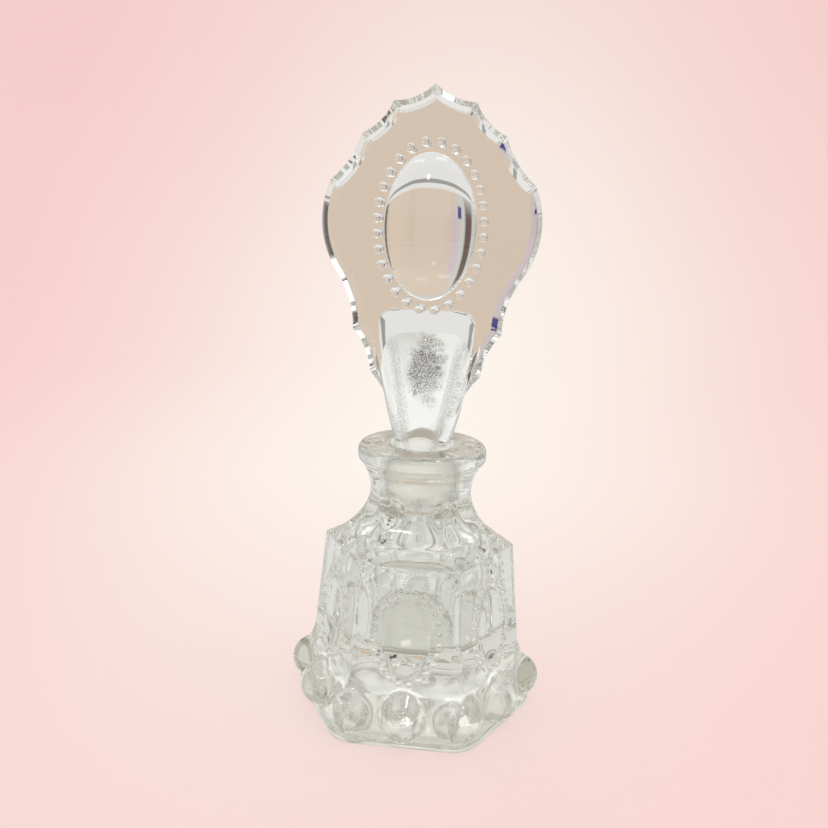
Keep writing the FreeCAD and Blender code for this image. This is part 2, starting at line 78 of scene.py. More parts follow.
# ------------------------------------------------------------------------ plane geometry
@dataclass(frozen=True)
class Arc:
    """A circular arc in a plane, held by its circle and its two end angles in radians."""

    centre: Point
    radius: float
    start: float
    end: float

    @classmethod
    def through(cls, first: Point, middle: Point, last: Point) -> "Arc":
        """Fit an arc to three points.

        Args:
            first: Where the arc starts.
            middle: Any point on it between its ends.
            last: Where it ends.

        Returns:
            The arc from first to last that passes middle.
        """
        (ax, ay), (bx, by), (cx, cy) = first, middle, last
        twice = 2 * (ax * (by - cy) + bx * (cy - ay) + cx * (ay - by))
        a2, b2, c2 = ax * ax + ay * ay, bx * bx + by * by, cx * cx + cy * cy
        x = (a2 * (by - cy) + b2 * (cy - ay) + c2 * (ay - by)) / twice
        y = (a2 * (cx - bx) + b2 * (ax - cx) + c2 * (bx - ax)) / twice
        start, mid, end = (math.atan2(v - y, u - x) for u, v in (first, middle, last))
        span, part = (end - start) % math.tau, (mid - start) % math.tau
        if part > span:
            span -= math.tau
        return cls((x, y), math.hypot(ax - x, ay - y), start, start + span)

    @classmethod
    def sagging(cls, first: Point, last: Point, sag: float) -> "Arc":
        """Fit an arc that leaves its chord by sag, to the left of the way it runs.

        Args:
            first: Where the arc starts.
            last: Where it ends.
            sag: Distance at the middle; below zero it lies to the right.

        Returns:
            The arc from first to last.
        """
        run_x, run_y = last[0] - first[0], last[1] - first[1]
        length = math.hypot(run_x, run_y)
        middle = ((first[0] + last[0]) / 2 - sag * run_y / length,
                  (first[1] + last[1]) / 2 + sag * run_x / length)
        return cls.through(first, middle, last)

    def points(self, count: int) -> list[Point]:
        """Return count + 1 evenly spaced points from start to end."""
        angles = np.linspace(self.start, self.end, count + 1)
        return [(self.centre[0] + self.radius * math.cos(a),
                 self.centre[1] + self.radius * math.sin(a)) for a in angles]

    def offset_right(self, distance: float) -> "Arc":
        """Return the parallel arc at a distance to the right of the way it runs."""
        grow = distance if self.end > self.start else -distance
        return Arc(self.centre, self.radius + grow, self.start, self.end)

    def meeting(self, other: "Arc", near: Point) -> Point:
        """Return the crossing of two arcs' circles that is nearest to a point.

        Args:
            other: The other arc.
            near: A point close to the crossing that is wanted.

        Returns:
            The crossing.
        """
        (x0, y0), (x1, y1) = self.centre, other.centre
        dx, dy = x1 - x0, y1 - y0
        apart = math.hypot(dx, dy)
        along = (self.radius ** 2 - other.radius ** 2 + apart ** 2) / (2 * apart)
        across = math.sqrt(max(self.radius ** 2 - along ** 2, 0.0))
        mx, my = x0 + along * dx / apart, y0 + along * dy / apart
        found = [(mx + k * across * dy / apart, my - k * across * dx / apart) for k in (-1, 1)]
        return min(found, key=lambda p: math.dist(p, near))

    def between(self, first: Point, last: Point) -> "Arc":
        """Return the same circle's arc from one point to another, turning the same way.

        Args:
            first: Where the new arc starts.
            last: Where it ends.

        Returns:
            The new arc.
        """
        (x, y), turn = self.centre, 1 if self.end > self.start else -1
        start = math.atan2(first[1] - y, first[0] - x)
        end = math.atan2(last[1] - y, last[0] - x)
        span = ((end - start) * turn) % math.tau
        return Arc(self.centre, self.radius, start, start + turn * span)


def line_points(first: Point, last: Point, count: int) -> list[Point]:
    """Return count + 1 evenly spaced points on a straight line."""
    return [(first[0] + (last[0] - first[0]) * i / count,
             first[1] + (last[1] - first[1]) * i / count) for i in range(count + 1)]


def joined(*runs: list[Point]) -> list[Point]:
    """String runs of points together, dropping each repeated joint.

    Args:
        *runs: Lists of points, each from the point where the one before it ends.

    Returns:
        One list of points.
    """
    path: list[Point] = []
    for run in runs:
        path += run if not path else run[1:]
    return path


def softened(path: list[Point], step: float, reach: float) -> np.ndarray:
    """Resample a path evenly and round its corners.

    Args:
        path: The corner-to-corner points.
        step: Distance between the resampled points.
        reach: How far each corner's rounding runs, either way.

    Returns:
        The rounded path as rows of two coordinates.
    """
    raw = np.array(path)
    run = np.concatenate([[0.0], np.cumsum(np.hypot(*np.diff(raw, axis=0).T))])
    even = np.arange(0.0, run[-1] + step / 2, step)
    smooth = np.column_stack([np.interp(even, run, raw[:, k]) for k in (0, 1)])
    width = max(1, round(reach / step))
    kernel = np.ones(2 * width + 1) / (2 * width + 1)
    for _ in range(2):
        padded = np.pad(smooth, ((width, width), (0, 0)), mode="reflect", reflect_type="odd")
        smooth = np.column_stack([np.convolve(padded[:, k], kernel, "valid") for k in (0, 1)])
    return smooth


def soft_min(a: np.ndarray, b: np.ndarray, blend: float) -> np.ndarray:
    """Return the smaller of two fields, rounded where they cross within blend."""
    near = np.maximum(blend - np.abs(a - b), 0.0) / blend
    return np.minimum(a, b) - near * near * blend / 4


def soft_max(a: np.ndarray, b: np.ndarray, blend: float) -> np.ndarray:
    """Return the larger of two fields, rounded where they cross within blend."""
    return -soft_min(-a, -b, blend)


def around_ellipse(count: int, half_width: float, half_tall: float) -> list[Point]:
    """Space points at equal steps round an upright ellipse.

    Args:
        count: How many points.
        half_width: The ellipse's level half axis.
        half_tall: Its upright half axis.

    Returns:
        Points across and up from its centre, none of them at the very top.
    """
    turn = np.linspace(0.0, math.tau, 1441)
    x, y = half_width * np.sin(turn), half_tall * np.cos(turn)
    run = np.concatenate([[0.0], np.cumsum(np.hypot(np.diff(x), np.diff(y)))])
    stops = (np.arange(count) + 0.5) / count * run[-1]
    return list(zip(np.interp(stops, run, x), np.interp(stops, run, y)))


# ------------------------------------------------------------------------------ mesh work
@dataclass
class Shell:
    """A mesh in the making: points in millimetres, and faces with a finish each."""

    points: list[Vector] = field(default_factory=list)
    faces: list[tuple[list[int], Skin]] = field(default_factory=list)

    def add(self, places: list[Vector]) -> list[int]:
        """Add points and return their numbers.

        Args:
            places: Points in millimetres.

        Returns:
            The points' numbers, in the same order.
        """
        first = len(self.points)
        self.points += places
        return list(range(first, first + len(places)))

    def strip(self, low: list[int], high: list[int], skin: Skin, closed: bool = True) -> None:
        """Fill between two rows of equal length with quads.

        Args:
            low: Point numbers of one row.
            high: Point numbers of the other.
            skin: The quads' finish.
            closed: Whether the rows run full circle.
        """
        count = len(low)
        for i in range(count if closed else count - 1):
            j = (i + 1) % count
            self.faces.append(([low[i], low[j], high[j], high[i]], skin))

    def cap(self, ring: list[int], centre: Vector, skin: Skin) -> None:
        """Close a ring with triangles to one middle point.

        Args:
            ring: The ring's point numbers.
            centre: The middle point.
            skin: The triangles' finish.
        """
        middle = self.add([centre])[0]
        for i, here in enumerate(ring):
            self.faces.append(([here, ring[(i + 1) % len(ring)], middle], skin))

    def bubble(self, centre: Vector, half: Vector, rings: int = 10, spokes: int = 16) -> None:
        """Trap a small egg-shaped void inside the glass.

        Args:
            centre: Its middle.
            half: Its half size along each axis.
            rings: Bands of faces from pole to pole.
            spokes: Faces round each band.
        """
        ball = bmesh.new()
        bmesh.ops.create_uvsphere(ball, u_segments=spokes, v_segments=rings, radius=1.0)
        numbers = self.add([centre + Vector((v.co.x * half.x, v.co.y * half.y, v.co.z * half.z))
                            for v in ball.verts])
        for f in ball.faces:
            self.faces.append(([numbers[v.index] for v in reversed(f.verts)], Skin.POLISHED))
        ball.free()

    def to_object(self, name: str, finishes: list[bpy.types.Material],
                  weld: float = 0.002) -> bpy.types.Object:
        """Weld the points and make the Blender object.

        Args:
            name: The object's name.
            finishes: Its materials, in the order of Skin.
            weld: Points nearer than this, in millimetres, become one.

        Returns:
            The new object, in metres, linked to the scene.
        """
        work = bmesh.new()
        verts = [work.verts.new(p * MM) for p in self.points]
        for numbers, skin in self.faces:
            try:
                face = work.faces.new([verts[i] for i in numbers])
            except ValueError:
                continue
            face.material_index = skin.value
            face.smooth = True
        bmesh.ops.remove_doubles(work, verts=work.verts, dist=weld * MM)
        bmesh.ops.dissolve_degenerate(work, edges=work.edges, dist=weld * MM / 4)
        mesh = bpy.data.meshes.new(name)
        for finish in finishes:
            mesh.materials.append(finish)
        work.to_mesh(mesh)
        work.free()
        piece = bpy.data.objects.new(name, mesh)
        bpy.context.scene.collection.objects.link(piece)
        return piece


def face_outwards(piece: bpy.types.Object) -> None:
    """Turn every face of a closed mesh to look out of its solid.

    Args:
        piece: The object whose faces are turned.
    """
    work = bmesh.new()
    work.from_mesh(piece.data)
    bmesh.ops.recalc_face_normals(work, faces=work.faces)
    work.to_mesh(piece.data)
    work.free()


def report_mesh(piece: bpy.types.Object) -> None:
    """Log a piece's size and any edge that isn't shared by exactly two faces.

    Args:
        piece: The object to report.
    """
    work = bmesh.new()
    work.from_mesh(piece.data)
    loose = sum(1 for e in work.edges if len(e.link_faces) != 2)
    volume = work.calc_volume() / MM ** 3 / 1000
    triangles = sum(len(f.verts) - 2 for f in work.faces)
    work.free()
    ground = sum(1 for f in piece.data.polygons if f.material_index == Skin.GROUND.value)
    log.info("%s: %d triangles, %d open edges, %.1f cm3, %d ground faces", piece.name, triangles,
             loose, volume, ground)


def finish_shading(piece: bpy.types.Object, crease_degrees: float) -> None:
    """Shade a piece smooth, with flats kept flat beside their rounded edges.

    Args:
        piece: The object to shade.
        crease_degrees: Edges that turn more than this stay crisp.
    """
    mesh = piece.data
    mesh.shade_smooth()
    mesh.set_sharp_from_angle(angle=math.radians(crease_degrees))
    weighted = piece.modifiers.new("even_normals", "WEIGHTED_NORMAL")
    weighted.mode = "FACE_AREA_WITH_ANGLE"
    weighted.weight = 60
    weighted.keep_sharp = True


def radial(angle_degrees: float, radius: float, height: float) -> Vector:
    """A point by its angle from the front (-Y) towards +X, its radius and its height."""
    turn = math.radians(angle_degrees)
    return Vector((radius * math.sin(turn), -radius * math.cos(turn), height))


# --------------------------------------------------------------------------------- bottle
@dataclass
class Bottle:
    """The pressed bottle: sizes in millimetres, as the CAD model has them."""

    foot_corner: float = 35.4
    foot_round: float = 9.0
    foot_height: float = 2.6
    skirt_start: float = 2.9
    flange_reach: float = 28.0
    flange_height: float = 14.0
    flange_slope: float = 0.5
    flange_roll: float = 0.35
    flange_roll_drop: float = 0.3
    flange_clear: float = 8.0
    flange_blend: float = 1.4
    boss_radius: float = 6.1
    boss_flare: float = 0.88
    boss_height: float = 7.7
    boss_blend: float = 1.2
    corner_boss_reach: float = 30.3
    side_boss_reach: float = 28.4
    panel_low: Point = (26.6, 11.0)
    panel_high: Point = (23.4, 47.8)
    panel_corner_blend: float = 0.75
    panel_cove_blend: float = 0.6
    flute_mid: Point = (15.3, 54.5)
    flute_waist: Point = (13.3, 61.0)
    flute_out: Point = (18.9, 69.5)
    cove_foot: Point = (29.0, 49.4)
    cove_mid: Point = (17.1, 54.8)
    neck: Point = (14.3, 61.0)
    lip_low: Point = (17.9, 71.8)
    lip_round: float = 1.9
    oval_height: float = 28.8
    oval_half: Point = (6.6, 10.5)
    oval_dome: float = 1.25
    oval_fullness: float = 0.42
    ring_half: Point = (8.7, 12.3)
    beads: int = 24
    bead_radius: float = 0.9
    mouth: float = 8.0
    mouth_chamfer: float = 0.6
    throat: Point = (6.75, 55.5)
    hollow_floor: float = 21.5
    hollow_radius: float = 19.6
    hollow_wall_top: float = 40.5
    hollow_floor_round: float = 3.5
    ground_rows: int = 11
    crease: float = 34.0
    columns: int = 24
    node: str = "bottle"

    def __post_init__(self) -> None:
        """Take the lip's height from the CAD node and draw the two guide paths."""
        self.lip_height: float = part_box(self.node)[1].z / MM
        self.panel_path = self._panel_guide()
        self.turned_path = self._turned_guide()

    def _panel_guide(self) -> np.ndarray:
        """Return the panel's middle line: reach from the axis against height.

        Returns:
            Rows of reach and height, GUIDE_STEP apart.
        """
        base_x, base_z = self.panel_low
        slope = (self.panel_high[0] - base_x) / (self.panel_high[1] - base_z)
        start = (base_x + slope * (self.skirt_start - base_z), self.skirt_start)
        half_way = 0.6 * self.flute_out[1] + 0.4 * self.flute_waist[1]
        path = joined(
            line_points(start, self.panel_high, 40),
            Arc.through(self.panel_high, self.flute_mid, self.flute_waist).points(60),
            Arc.through(self.flute_waist, (self.flute_waist[0] + 1.5, half_way),
                        self.flute_out).points(40))
        return softened(path, GUIDE_STEP, 0.35)

    def _turned_guide(self) -> np.ndarray:
        """Return the turned blank's outline from the cove up to the lip: radius, height.

        Returns:
            Rows of radius and height, GUIDE_STEP apart.
        """
        neck_x, neck_z = self.neck
        lip_x, lip_z = self.lip_low
        bulge = (neck_x + 0.2 * (lip_x - neck_x), 0.42 * neck_z + 0.58 * lip_z)
        path = joined(
            Arc.through(self.cove_foot, self.cove_mid, self.neck).points(60),
            Arc.through(self.neck, bulge, self.lip_low).points(40),
            line_points(self.lip_low, (lip_x, self.lip_height - self.lip_round), 6))
        return softened(path, GUIDE_STEP, 0.5)

    # -- fields over the unrolled skin
    def _hexagon(self, reach: np.ndarray, turn: np.ndarray) -> np.ndarray:
        """Radius of a six-sided prism with softly rounded corners, at angles in degrees.

        Args:
            reach: Distance from the axis to the middle of a side.
            turn: Angles from a side's middle, in degrees.

        Returns:
            A radius for each angle.
        """
        here = reach / np.cos(np.radians(turn))
        beside = reach / np.cos(np.radians(SECTOR - np.abs(turn)))
        return soft_min(here, beside, self.panel_corner_blend)

    def _boss(self, turn: np.ndarray, height: np.ndarray, reach: float, at: float) -> np.ndarray:
        """Radius of one round boss as seen from the axis, with a base that flares out.

        Args:
            turn: Angles from the panel's middle, in degrees.
            height: Heights.
            reach: Distance from the axis to the boss's middle.
            at: Angle of the boss's middle, in degrees.

        Returns:
            A radius for each point.
        """
        swing = np.radians(turn - at)
        off = np.hypot(reach * np.sin(swing), height - self.boss_height)
        flare = self.boss_flare * self.boss_radius
        dome = np.sqrt(np.maximum(self.boss_radius ** 2 - np.minimum(off, flare) ** 2, 0.0))
        slope = flare / math.sqrt(self.boss_radius ** 2 - flare ** 2)
        return reach * np.cos(swing) + dome - slope * np.maximum(off - flare, 0.0)

    def _flange(self, turn: np.ndarray, height: np.ndarray) -> np.ndarray:
        """Radius of the flange, whose top rolls over and slopes up into the panels.

        Args:
            turn: Angles from the panel's middle, in degrees.
            height: Heights.

        Returns:
            A radius for each point.
        """
        roll = self.flange_roll
        over = np.clip((height - (self.flange_height - roll)) / roll, 0.0, 1.0)
        drop = self.flange_roll_drop * (1.0 - np.sqrt(1.0 - over ** 2))
        past = np.maximum(height - self.flange_height, 0.0)
        return self._hexagon(self.flange_reach - drop - self.flange_slope * past, turn)

    def _relief(self, across: np.ndarray, up: np.ndarray) -> np.ndarray:
        """Height of the oval and the bead ring above the panel's face.

        Args:
            across: Distances from the panel's middle line.
            up: Distances above the oval's middle.

        Returns:
            A height above the face for each point.
        """
        fill = (across / self.oval_half[0]) ** 2 + (up / self.oval_half[1]) ** 2
        height = self.oval_dome * np.maximum(1.0 - fill, 0.0) ** self.oval_fullness
        for x, y in around_ellipse(self.beads, *self.ring_half):
            inside = 1.0 - ((across - x) ** 2 + (up - y) ** 2) / self.bead_radius ** 2
            height = np.maximum(height, self.bead_radius * np.sqrt(np.maximum(inside, 0.0)))
        return height

    def skin(self, turn: np.ndarray, run: np.ndarray) -> np.ndarray:
        """Place points of the front sixth of the outer skin.

        Args:
            turn: Angles from the panel's middle, in degrees.
            run: Distances up the panel's middle line.

        Returns:
            One row of x, y, z in millimetres per point.
        """
        steps = np.arange(len(self.panel_path)) * GUIDE_STEP
        reach = np.interp(run, steps, self.panel_path[:, 0])
        height = np.interp(run, steps, self.panel_path[:, 1])
        blank = np.interp(height, self.turned_path[:, 1], self.turned_path[:, 0])
        blank = np.where(height < self.cove_foot[1], self.cove_foot[0] + 9.0, blank)
        radius = soft_min(self._hexagon(reach, turn), blank, self.panel_cove_blend)
        low = height < self.flange_height + self.flange_clear
        wide = soft_max(radius, self._flange(turn, height), self.flange_blend)
        for at, boss_reach in self._bosses():
            wide = soft_max(wide, self._boss(turn, height, boss_reach, at), self.boss_blend)
        radius = np.where(low, wide, radius)
        angle = np.radians(turn)
        place = np.column_stack([radius * np.sin(angle), -radius * np.cos(angle), height])
        lean = math.atan2(self.panel_low[0] - self.panel_high[0],
                          self.panel_high[1] - self.panel_low[1])
        relief = self._relief(place[:, 0], height - self.oval_height)
        place += relief[:, None] * np.array([0.0, -math.cos(lean), math.sin(lean)])
        return place

    def _bosses(self) -> tuple[Point, ...]:
        """Angle and reach of the three bosses that show in one sixth of the skin."""
        corner = SECTOR / 2
        return ((-corner, self.corner_boss_reach), (0.0, self.side_boss_reach),
                (corner, self.corner_boss_reach))

    # -- where the skin's points go
    def _length(self) -> float:
        """Length of the panel's middle line."""
        return (len(self.panel_path) - 1) * GUIDE_STEP

    def _run_at(self, height: float) -> float:
        """Distance up the panel's middle line at a height."""
        levels = self.panel_path[:, 1]
        return float(np.interp(height, levels, np.arange(len(levels)) * GUIDE_STEP))

    def _spread(self) -> tuple[list[Point], float, float]:
        """Choose the points of one sixth of the skin, dense where the pressing curves.

        Returns:
            Points as (angle scaled to millimetres, distance up), the scaled half width of
            the sixth, and its length upwards.
        """
        scale = self.panel_low[0] * math.pi / 180
        half = SECTOR / 2 * scale
        length = self._length()
        panel_top = self._run_at(self.panel_high[1])
        flange_top = self._run_at(self.flange_height)
        points: list[Point] = []
        discs: list[tuple[float, float, float, float]] = []

        def rings(x: float, y: float, radii: list[Point], spokes: int) -> None:
            """Add rings of points round a feature, and keep the loose grid out of it.

            Args:
                x: The feature's middle, in scaled angle.
                y: Its middle, up the panel's middle line.
                radii: Half width and half height of each ring, smallest first.
                spokes: Points on each ring.
            """
            for half_x, half_y in radii:
                for k in range(spokes if half_x > 0 else 1):
                    turn = math.tau * k / spokes
                    points.append((x + half_x * math.sin(turn), y + half_y * math.cos(turn)))
            discs.append((x, y, radii[-1][0] + 0.25, radii[-1][1] + 0.25))

        spread = [math.sin(math.radians(t)) for t in (0, 9, 18, 27, 36, 45, 52, 58)]
        spread += [0.91, 0.98, 1.05, 1.12, 1.19, 1.27]
        for at, reach in self._bosses():
            wide = math.degrees(math.asin(self.boss_radius / reach)) * scale
            rings(at * scale, self._run_at(self.boss_height),
                  [(k * wide, k * self.boss_radius) for k in spread], 48)
        oval_reach = float(np.interp(self.oval_height, self.panel_path[:, 1],
                                     self.panel_path[:, 0]))

        def scaled(x: float) -> float:
            """Turn a distance across the panel at the oval into scaled angle."""
            return math.degrees(math.atan(x / oval_reach)) * scale

        centre = self._run_at(self.oval_height)
        oval = [math.sin(math.radians(t)) for t in (0, 12, 24, 36, 47, 57, 66, 74, 81, 86, 90)]
        rings(0.0, centre, [(scaled(k * self.oval_half[0]), k * self.oval_half[1])
                            for k in oval + [1.025, 1.06]], 56)
        bead = [0.0, 0.38, 0.7, 0.9, 0.98, 1.0, 1.1]
        for x, y in around_ellipse(self.beads, *self.ring_half):
            rings(scaled(x), centre + y, [(k * self.bead_radius,) * 2 for k in bead], 14)

        columns = list(np.linspace(-half, half, 29))
        columns += [s * (half - d) for d in (0.15, 0.32, 0.52, 0.75, 1.1) for s in (-1, 1)]
        rows = list(np.arange(0.6, panel_top - 1.0, 0.9))
        rows += [panel_top + d for d in (-0.9, -0.5, -0.25, 0, 0.25, 0.5, 0.9)]
        rows += list(np.arange(panel_top + 1.4, length - 0.3, 0.55))
        rows += [flange_top + d for d in (-0.6, -0.3, -0.15, 0, 0.15, 0.3, 0.6)]
        for x in columns:
            for y in rows:
                if all(((x - a) / rx) ** 2 + ((y - b) / ry) ** 2 > 1 for a, b, rx, ry in discs):
                    points.append((float(x), float(y)))
        points = [(x, y) for x, y in points
                  if abs(x) <= half + 1e-6 and 0.25 < y < length - 0.25]
        points += [(float(x), 0.0) for x in np.linspace(-half, half, 2 * self.columns + 1)]
        points += [(float(x), length) for x in np.linspace(-half, half, self.columns + 1)]
        return points, scale, length

    def _skin_sixths(self, shell: Shell) -> None:
        """Lay the outer skin: one sixth, triangulated flat, placed and turned six times.

        Args:
            shell: The mesh in the making.
        """
        points, scale, _ = self._spread()
        flat = [Vector(p) for p in points]
        flat_points, _, triangles, _, _, _ = delaunay_2d_cdt(flat, [], [], 0, 1e-5)
        spots = np.array([(p.x, p.y) for p in flat_points])
        places = self.skin(spots[:, 0] / scale, spots[:, 1])
        for side in range(SIDES):
            turn = Matrix.Rotation(math.radians(SECTOR * side), 3, "Z")
            numbers = shell.add([turn @ Vector(p) for p in places])
            for triangle in triangles:
                shell.faces.append(([numbers[i] for i in triangle], Skin.POLISHED))

    def _foot_radius(self, turn: float) -> float:
        """Outline of the foot plate: a hexagon with rounded corners, by angle.

        Args:
            turn: Angle from the front, in degrees.

        Returns:
            The outline's radius there.
        """
        flat = self.foot_corner * math.cos(math.radians(SECTOR / 2))
        centre = self.foot_corner - self.foot_round / math.cos(math.radians(SECTOR / 2))
        off = SECTOR / 2 - abs((turn + SECTOR / 2) % SECTOR - SECTOR / 2)
        swing = math.radians(off)
        side = flat / math.cos(math.radians(SECTOR / 2 - off))
        reach = self.foot_round ** 2 - (centre * math.sin(swing)) ** 2
        if reach <= 0:
            return side
        corner = centre * math.cos(swing) + math.sqrt(reach)
        edge_off = math.atan2(self.foot_round / 2, centre + self.foot_round * 0.866)
        return corner if swing < edge_off else side

    def _foot(self, shell: Shell) -> None:
        """Close the skin below with the foot plate's ledge, edge and slightly hollow sole.

        Args:
            shell: The mesh in the making.
        """
        count = 2 * self.columns * SIDES
        turns = [360.0 * i / count - SECTOR / 2 for i in range(count)]
        local = np.array([(t + SECTOR / 2) % SECTOR - SECTOR / 2 for t in turns])
        start = self.skin(local, np.zeros(count))
        skirt = np.hypot(start[:, 0], start[:, 1])
        rows = []
        top = self.foot_height
        for inset, height, hug in ((0.45, top, True), (0.12, top - 0.12, False),
                                   (0.0, top - 0.45, False), (0.0, 0.6, False),
                                   (0.15, 0.2, False), (0.5, 0.0, False), (3.2, 0.0, False),
                                   (3.8, 0.12, False), (6.0, 0.5, False)):
            radii = [self._foot_radius(t) - inset for t in turns]
            if hug:
                radii = [max(r, s) for r, s in zip(radii, skirt)]
            rows.append(shell.add([radial(t, r, height) for t, r in zip(turns, radii)]))
        skirt_row = shell.add([radial(t, r, self.skirt_start) for t, r in zip(turns, skirt)])
        for i, (low, high) in enumerate(zip([skirt_row] + rows, rows)):
            shell.strip(low, high, Skin.WORN_AND_SHADED if i > 5 else Skin.POLISHED)
        shell.cap(rows[-1], Vector((0.0, 0.0, 0.9)), Skin.WORN_AND_SHADED)

    def _lip_and_hollow(self, shell: Shell) -> None:
        """Turn the lip, the ground mouth, the throat and the hollow, down to its floor.

        Args:
            shell: The mesh in the making.
        """
        count = self.columns * SIDES
        turns = [360.0 * i / count - SECTOR / 2 for i in range(count)]
        lip = self.lip_height
        local = np.array([(t + SECTOR / 2) % SECTOR - SECTOR / 2 for t in turns])
        edge = self.skin(local, np.full(count, self._length()))
        rows = [(shell.add([radial(t, float(np.hypot(*p[:2])), float(p[2]))
                            for t, p in zip(turns, edge)]), Skin.POLISHED)]
        keep = self.turned_path[:, 1] > edge[:, 2].max() + 0.2
        outer = [tuple(p) for p in self.turned_path[keep][::8]]
        rim = Arc.through((self.lip_low[0], lip - self.lip_round),
                          (self.lip_low[0] - 0.293 * self.lip_round, lip - 0.293 * self.lip_round),
                          (self.lip_low[0] - self.lip_round, lip)).points(8)
        top = softened(joined(rim[-1:], [(self.mouth + 5.0, lip - 0.25),
                                         (self.mouth + 1.6, lip - 0.3),
                                         (self.mouth + 0.9, lip)]), 0.7, 0.7)
        outside = outer + rim + [tuple(p) for p in top[1:]]
        chamfer = self.mouth_chamfer
        ground = line_points((self.mouth, lip - chamfer), self.throat, 14)
        waist = (self.throat[0] + 5.6, self.hollow_wall_top + 7.4)
        wall = (self.hollow_radius - 0.8, self.hollow_wall_top)
        floor_round = self.hollow_floor_round
        inside = joined(
            Arc.through(self.throat, (self.throat[0] + 1.5, self.throat[1] - 4.0),
                        waist).points(14),
            Arc.through(waist, (self.hollow_radius - 3.0, self.hollow_wall_top + 4.4),
                        wall).points(12),
            line_points(wall, (self.hollow_radius, self.hollow_floor + floor_round), 10),
            Arc.through((self.hollow_radius, self.hollow_floor + floor_round),
                        (self.hollow_radius - 0.293 * floor_round,
                         self.hollow_floor + 0.293 * floor_round),
                        (self.hollow_radius - floor_round, self.hollow_floor)).points(8),
            line_points((self.hollow_radius - floor_round, self.hollow_floor),
                        (3.0, self.hollow_floor + 0.6), 6))
        for path, skin in ((outside, Skin.POLISHED), (ground[:self.ground_rows], Skin.GROUND),
                           (ground[self.ground_rows:] + inside[1:], Skin.HOLLOW)):
            for radius, height in path:
                rows.append((shell.add([radial(t, radius, height) for t in turns]), skin))
        for (low, _), (high, skin) in zip(rows, rows[1:]):
            shell.strip(low, high, skin)
        shell.cap(rows[-1][0], Vector((0.0, 0.0, self.hollow_floor + 0.7)), Skin.HOLLOW)

    def build(self, finishes: list[bpy.types.Material]) -> bpy.types.Object:
        """Make the whole bottle as one closed mesh and hang it on the frame.

        Args:
            finishes: Its materials, in the order of Skin.

        Returns:
            The finished bottle.
        """
        shell = Shell()
        self._skin_sixths(shell)
        self._foot(shell)
        self._lip_and_hollow(shell)
        piece = shell.to_object("bottle_glass", finishes)
        face_outwards(piece)
        finish_shading(piece, self.crease)
        report_mesh(piece)
        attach(piece, "bottle")
        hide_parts(self.node)
        return piece


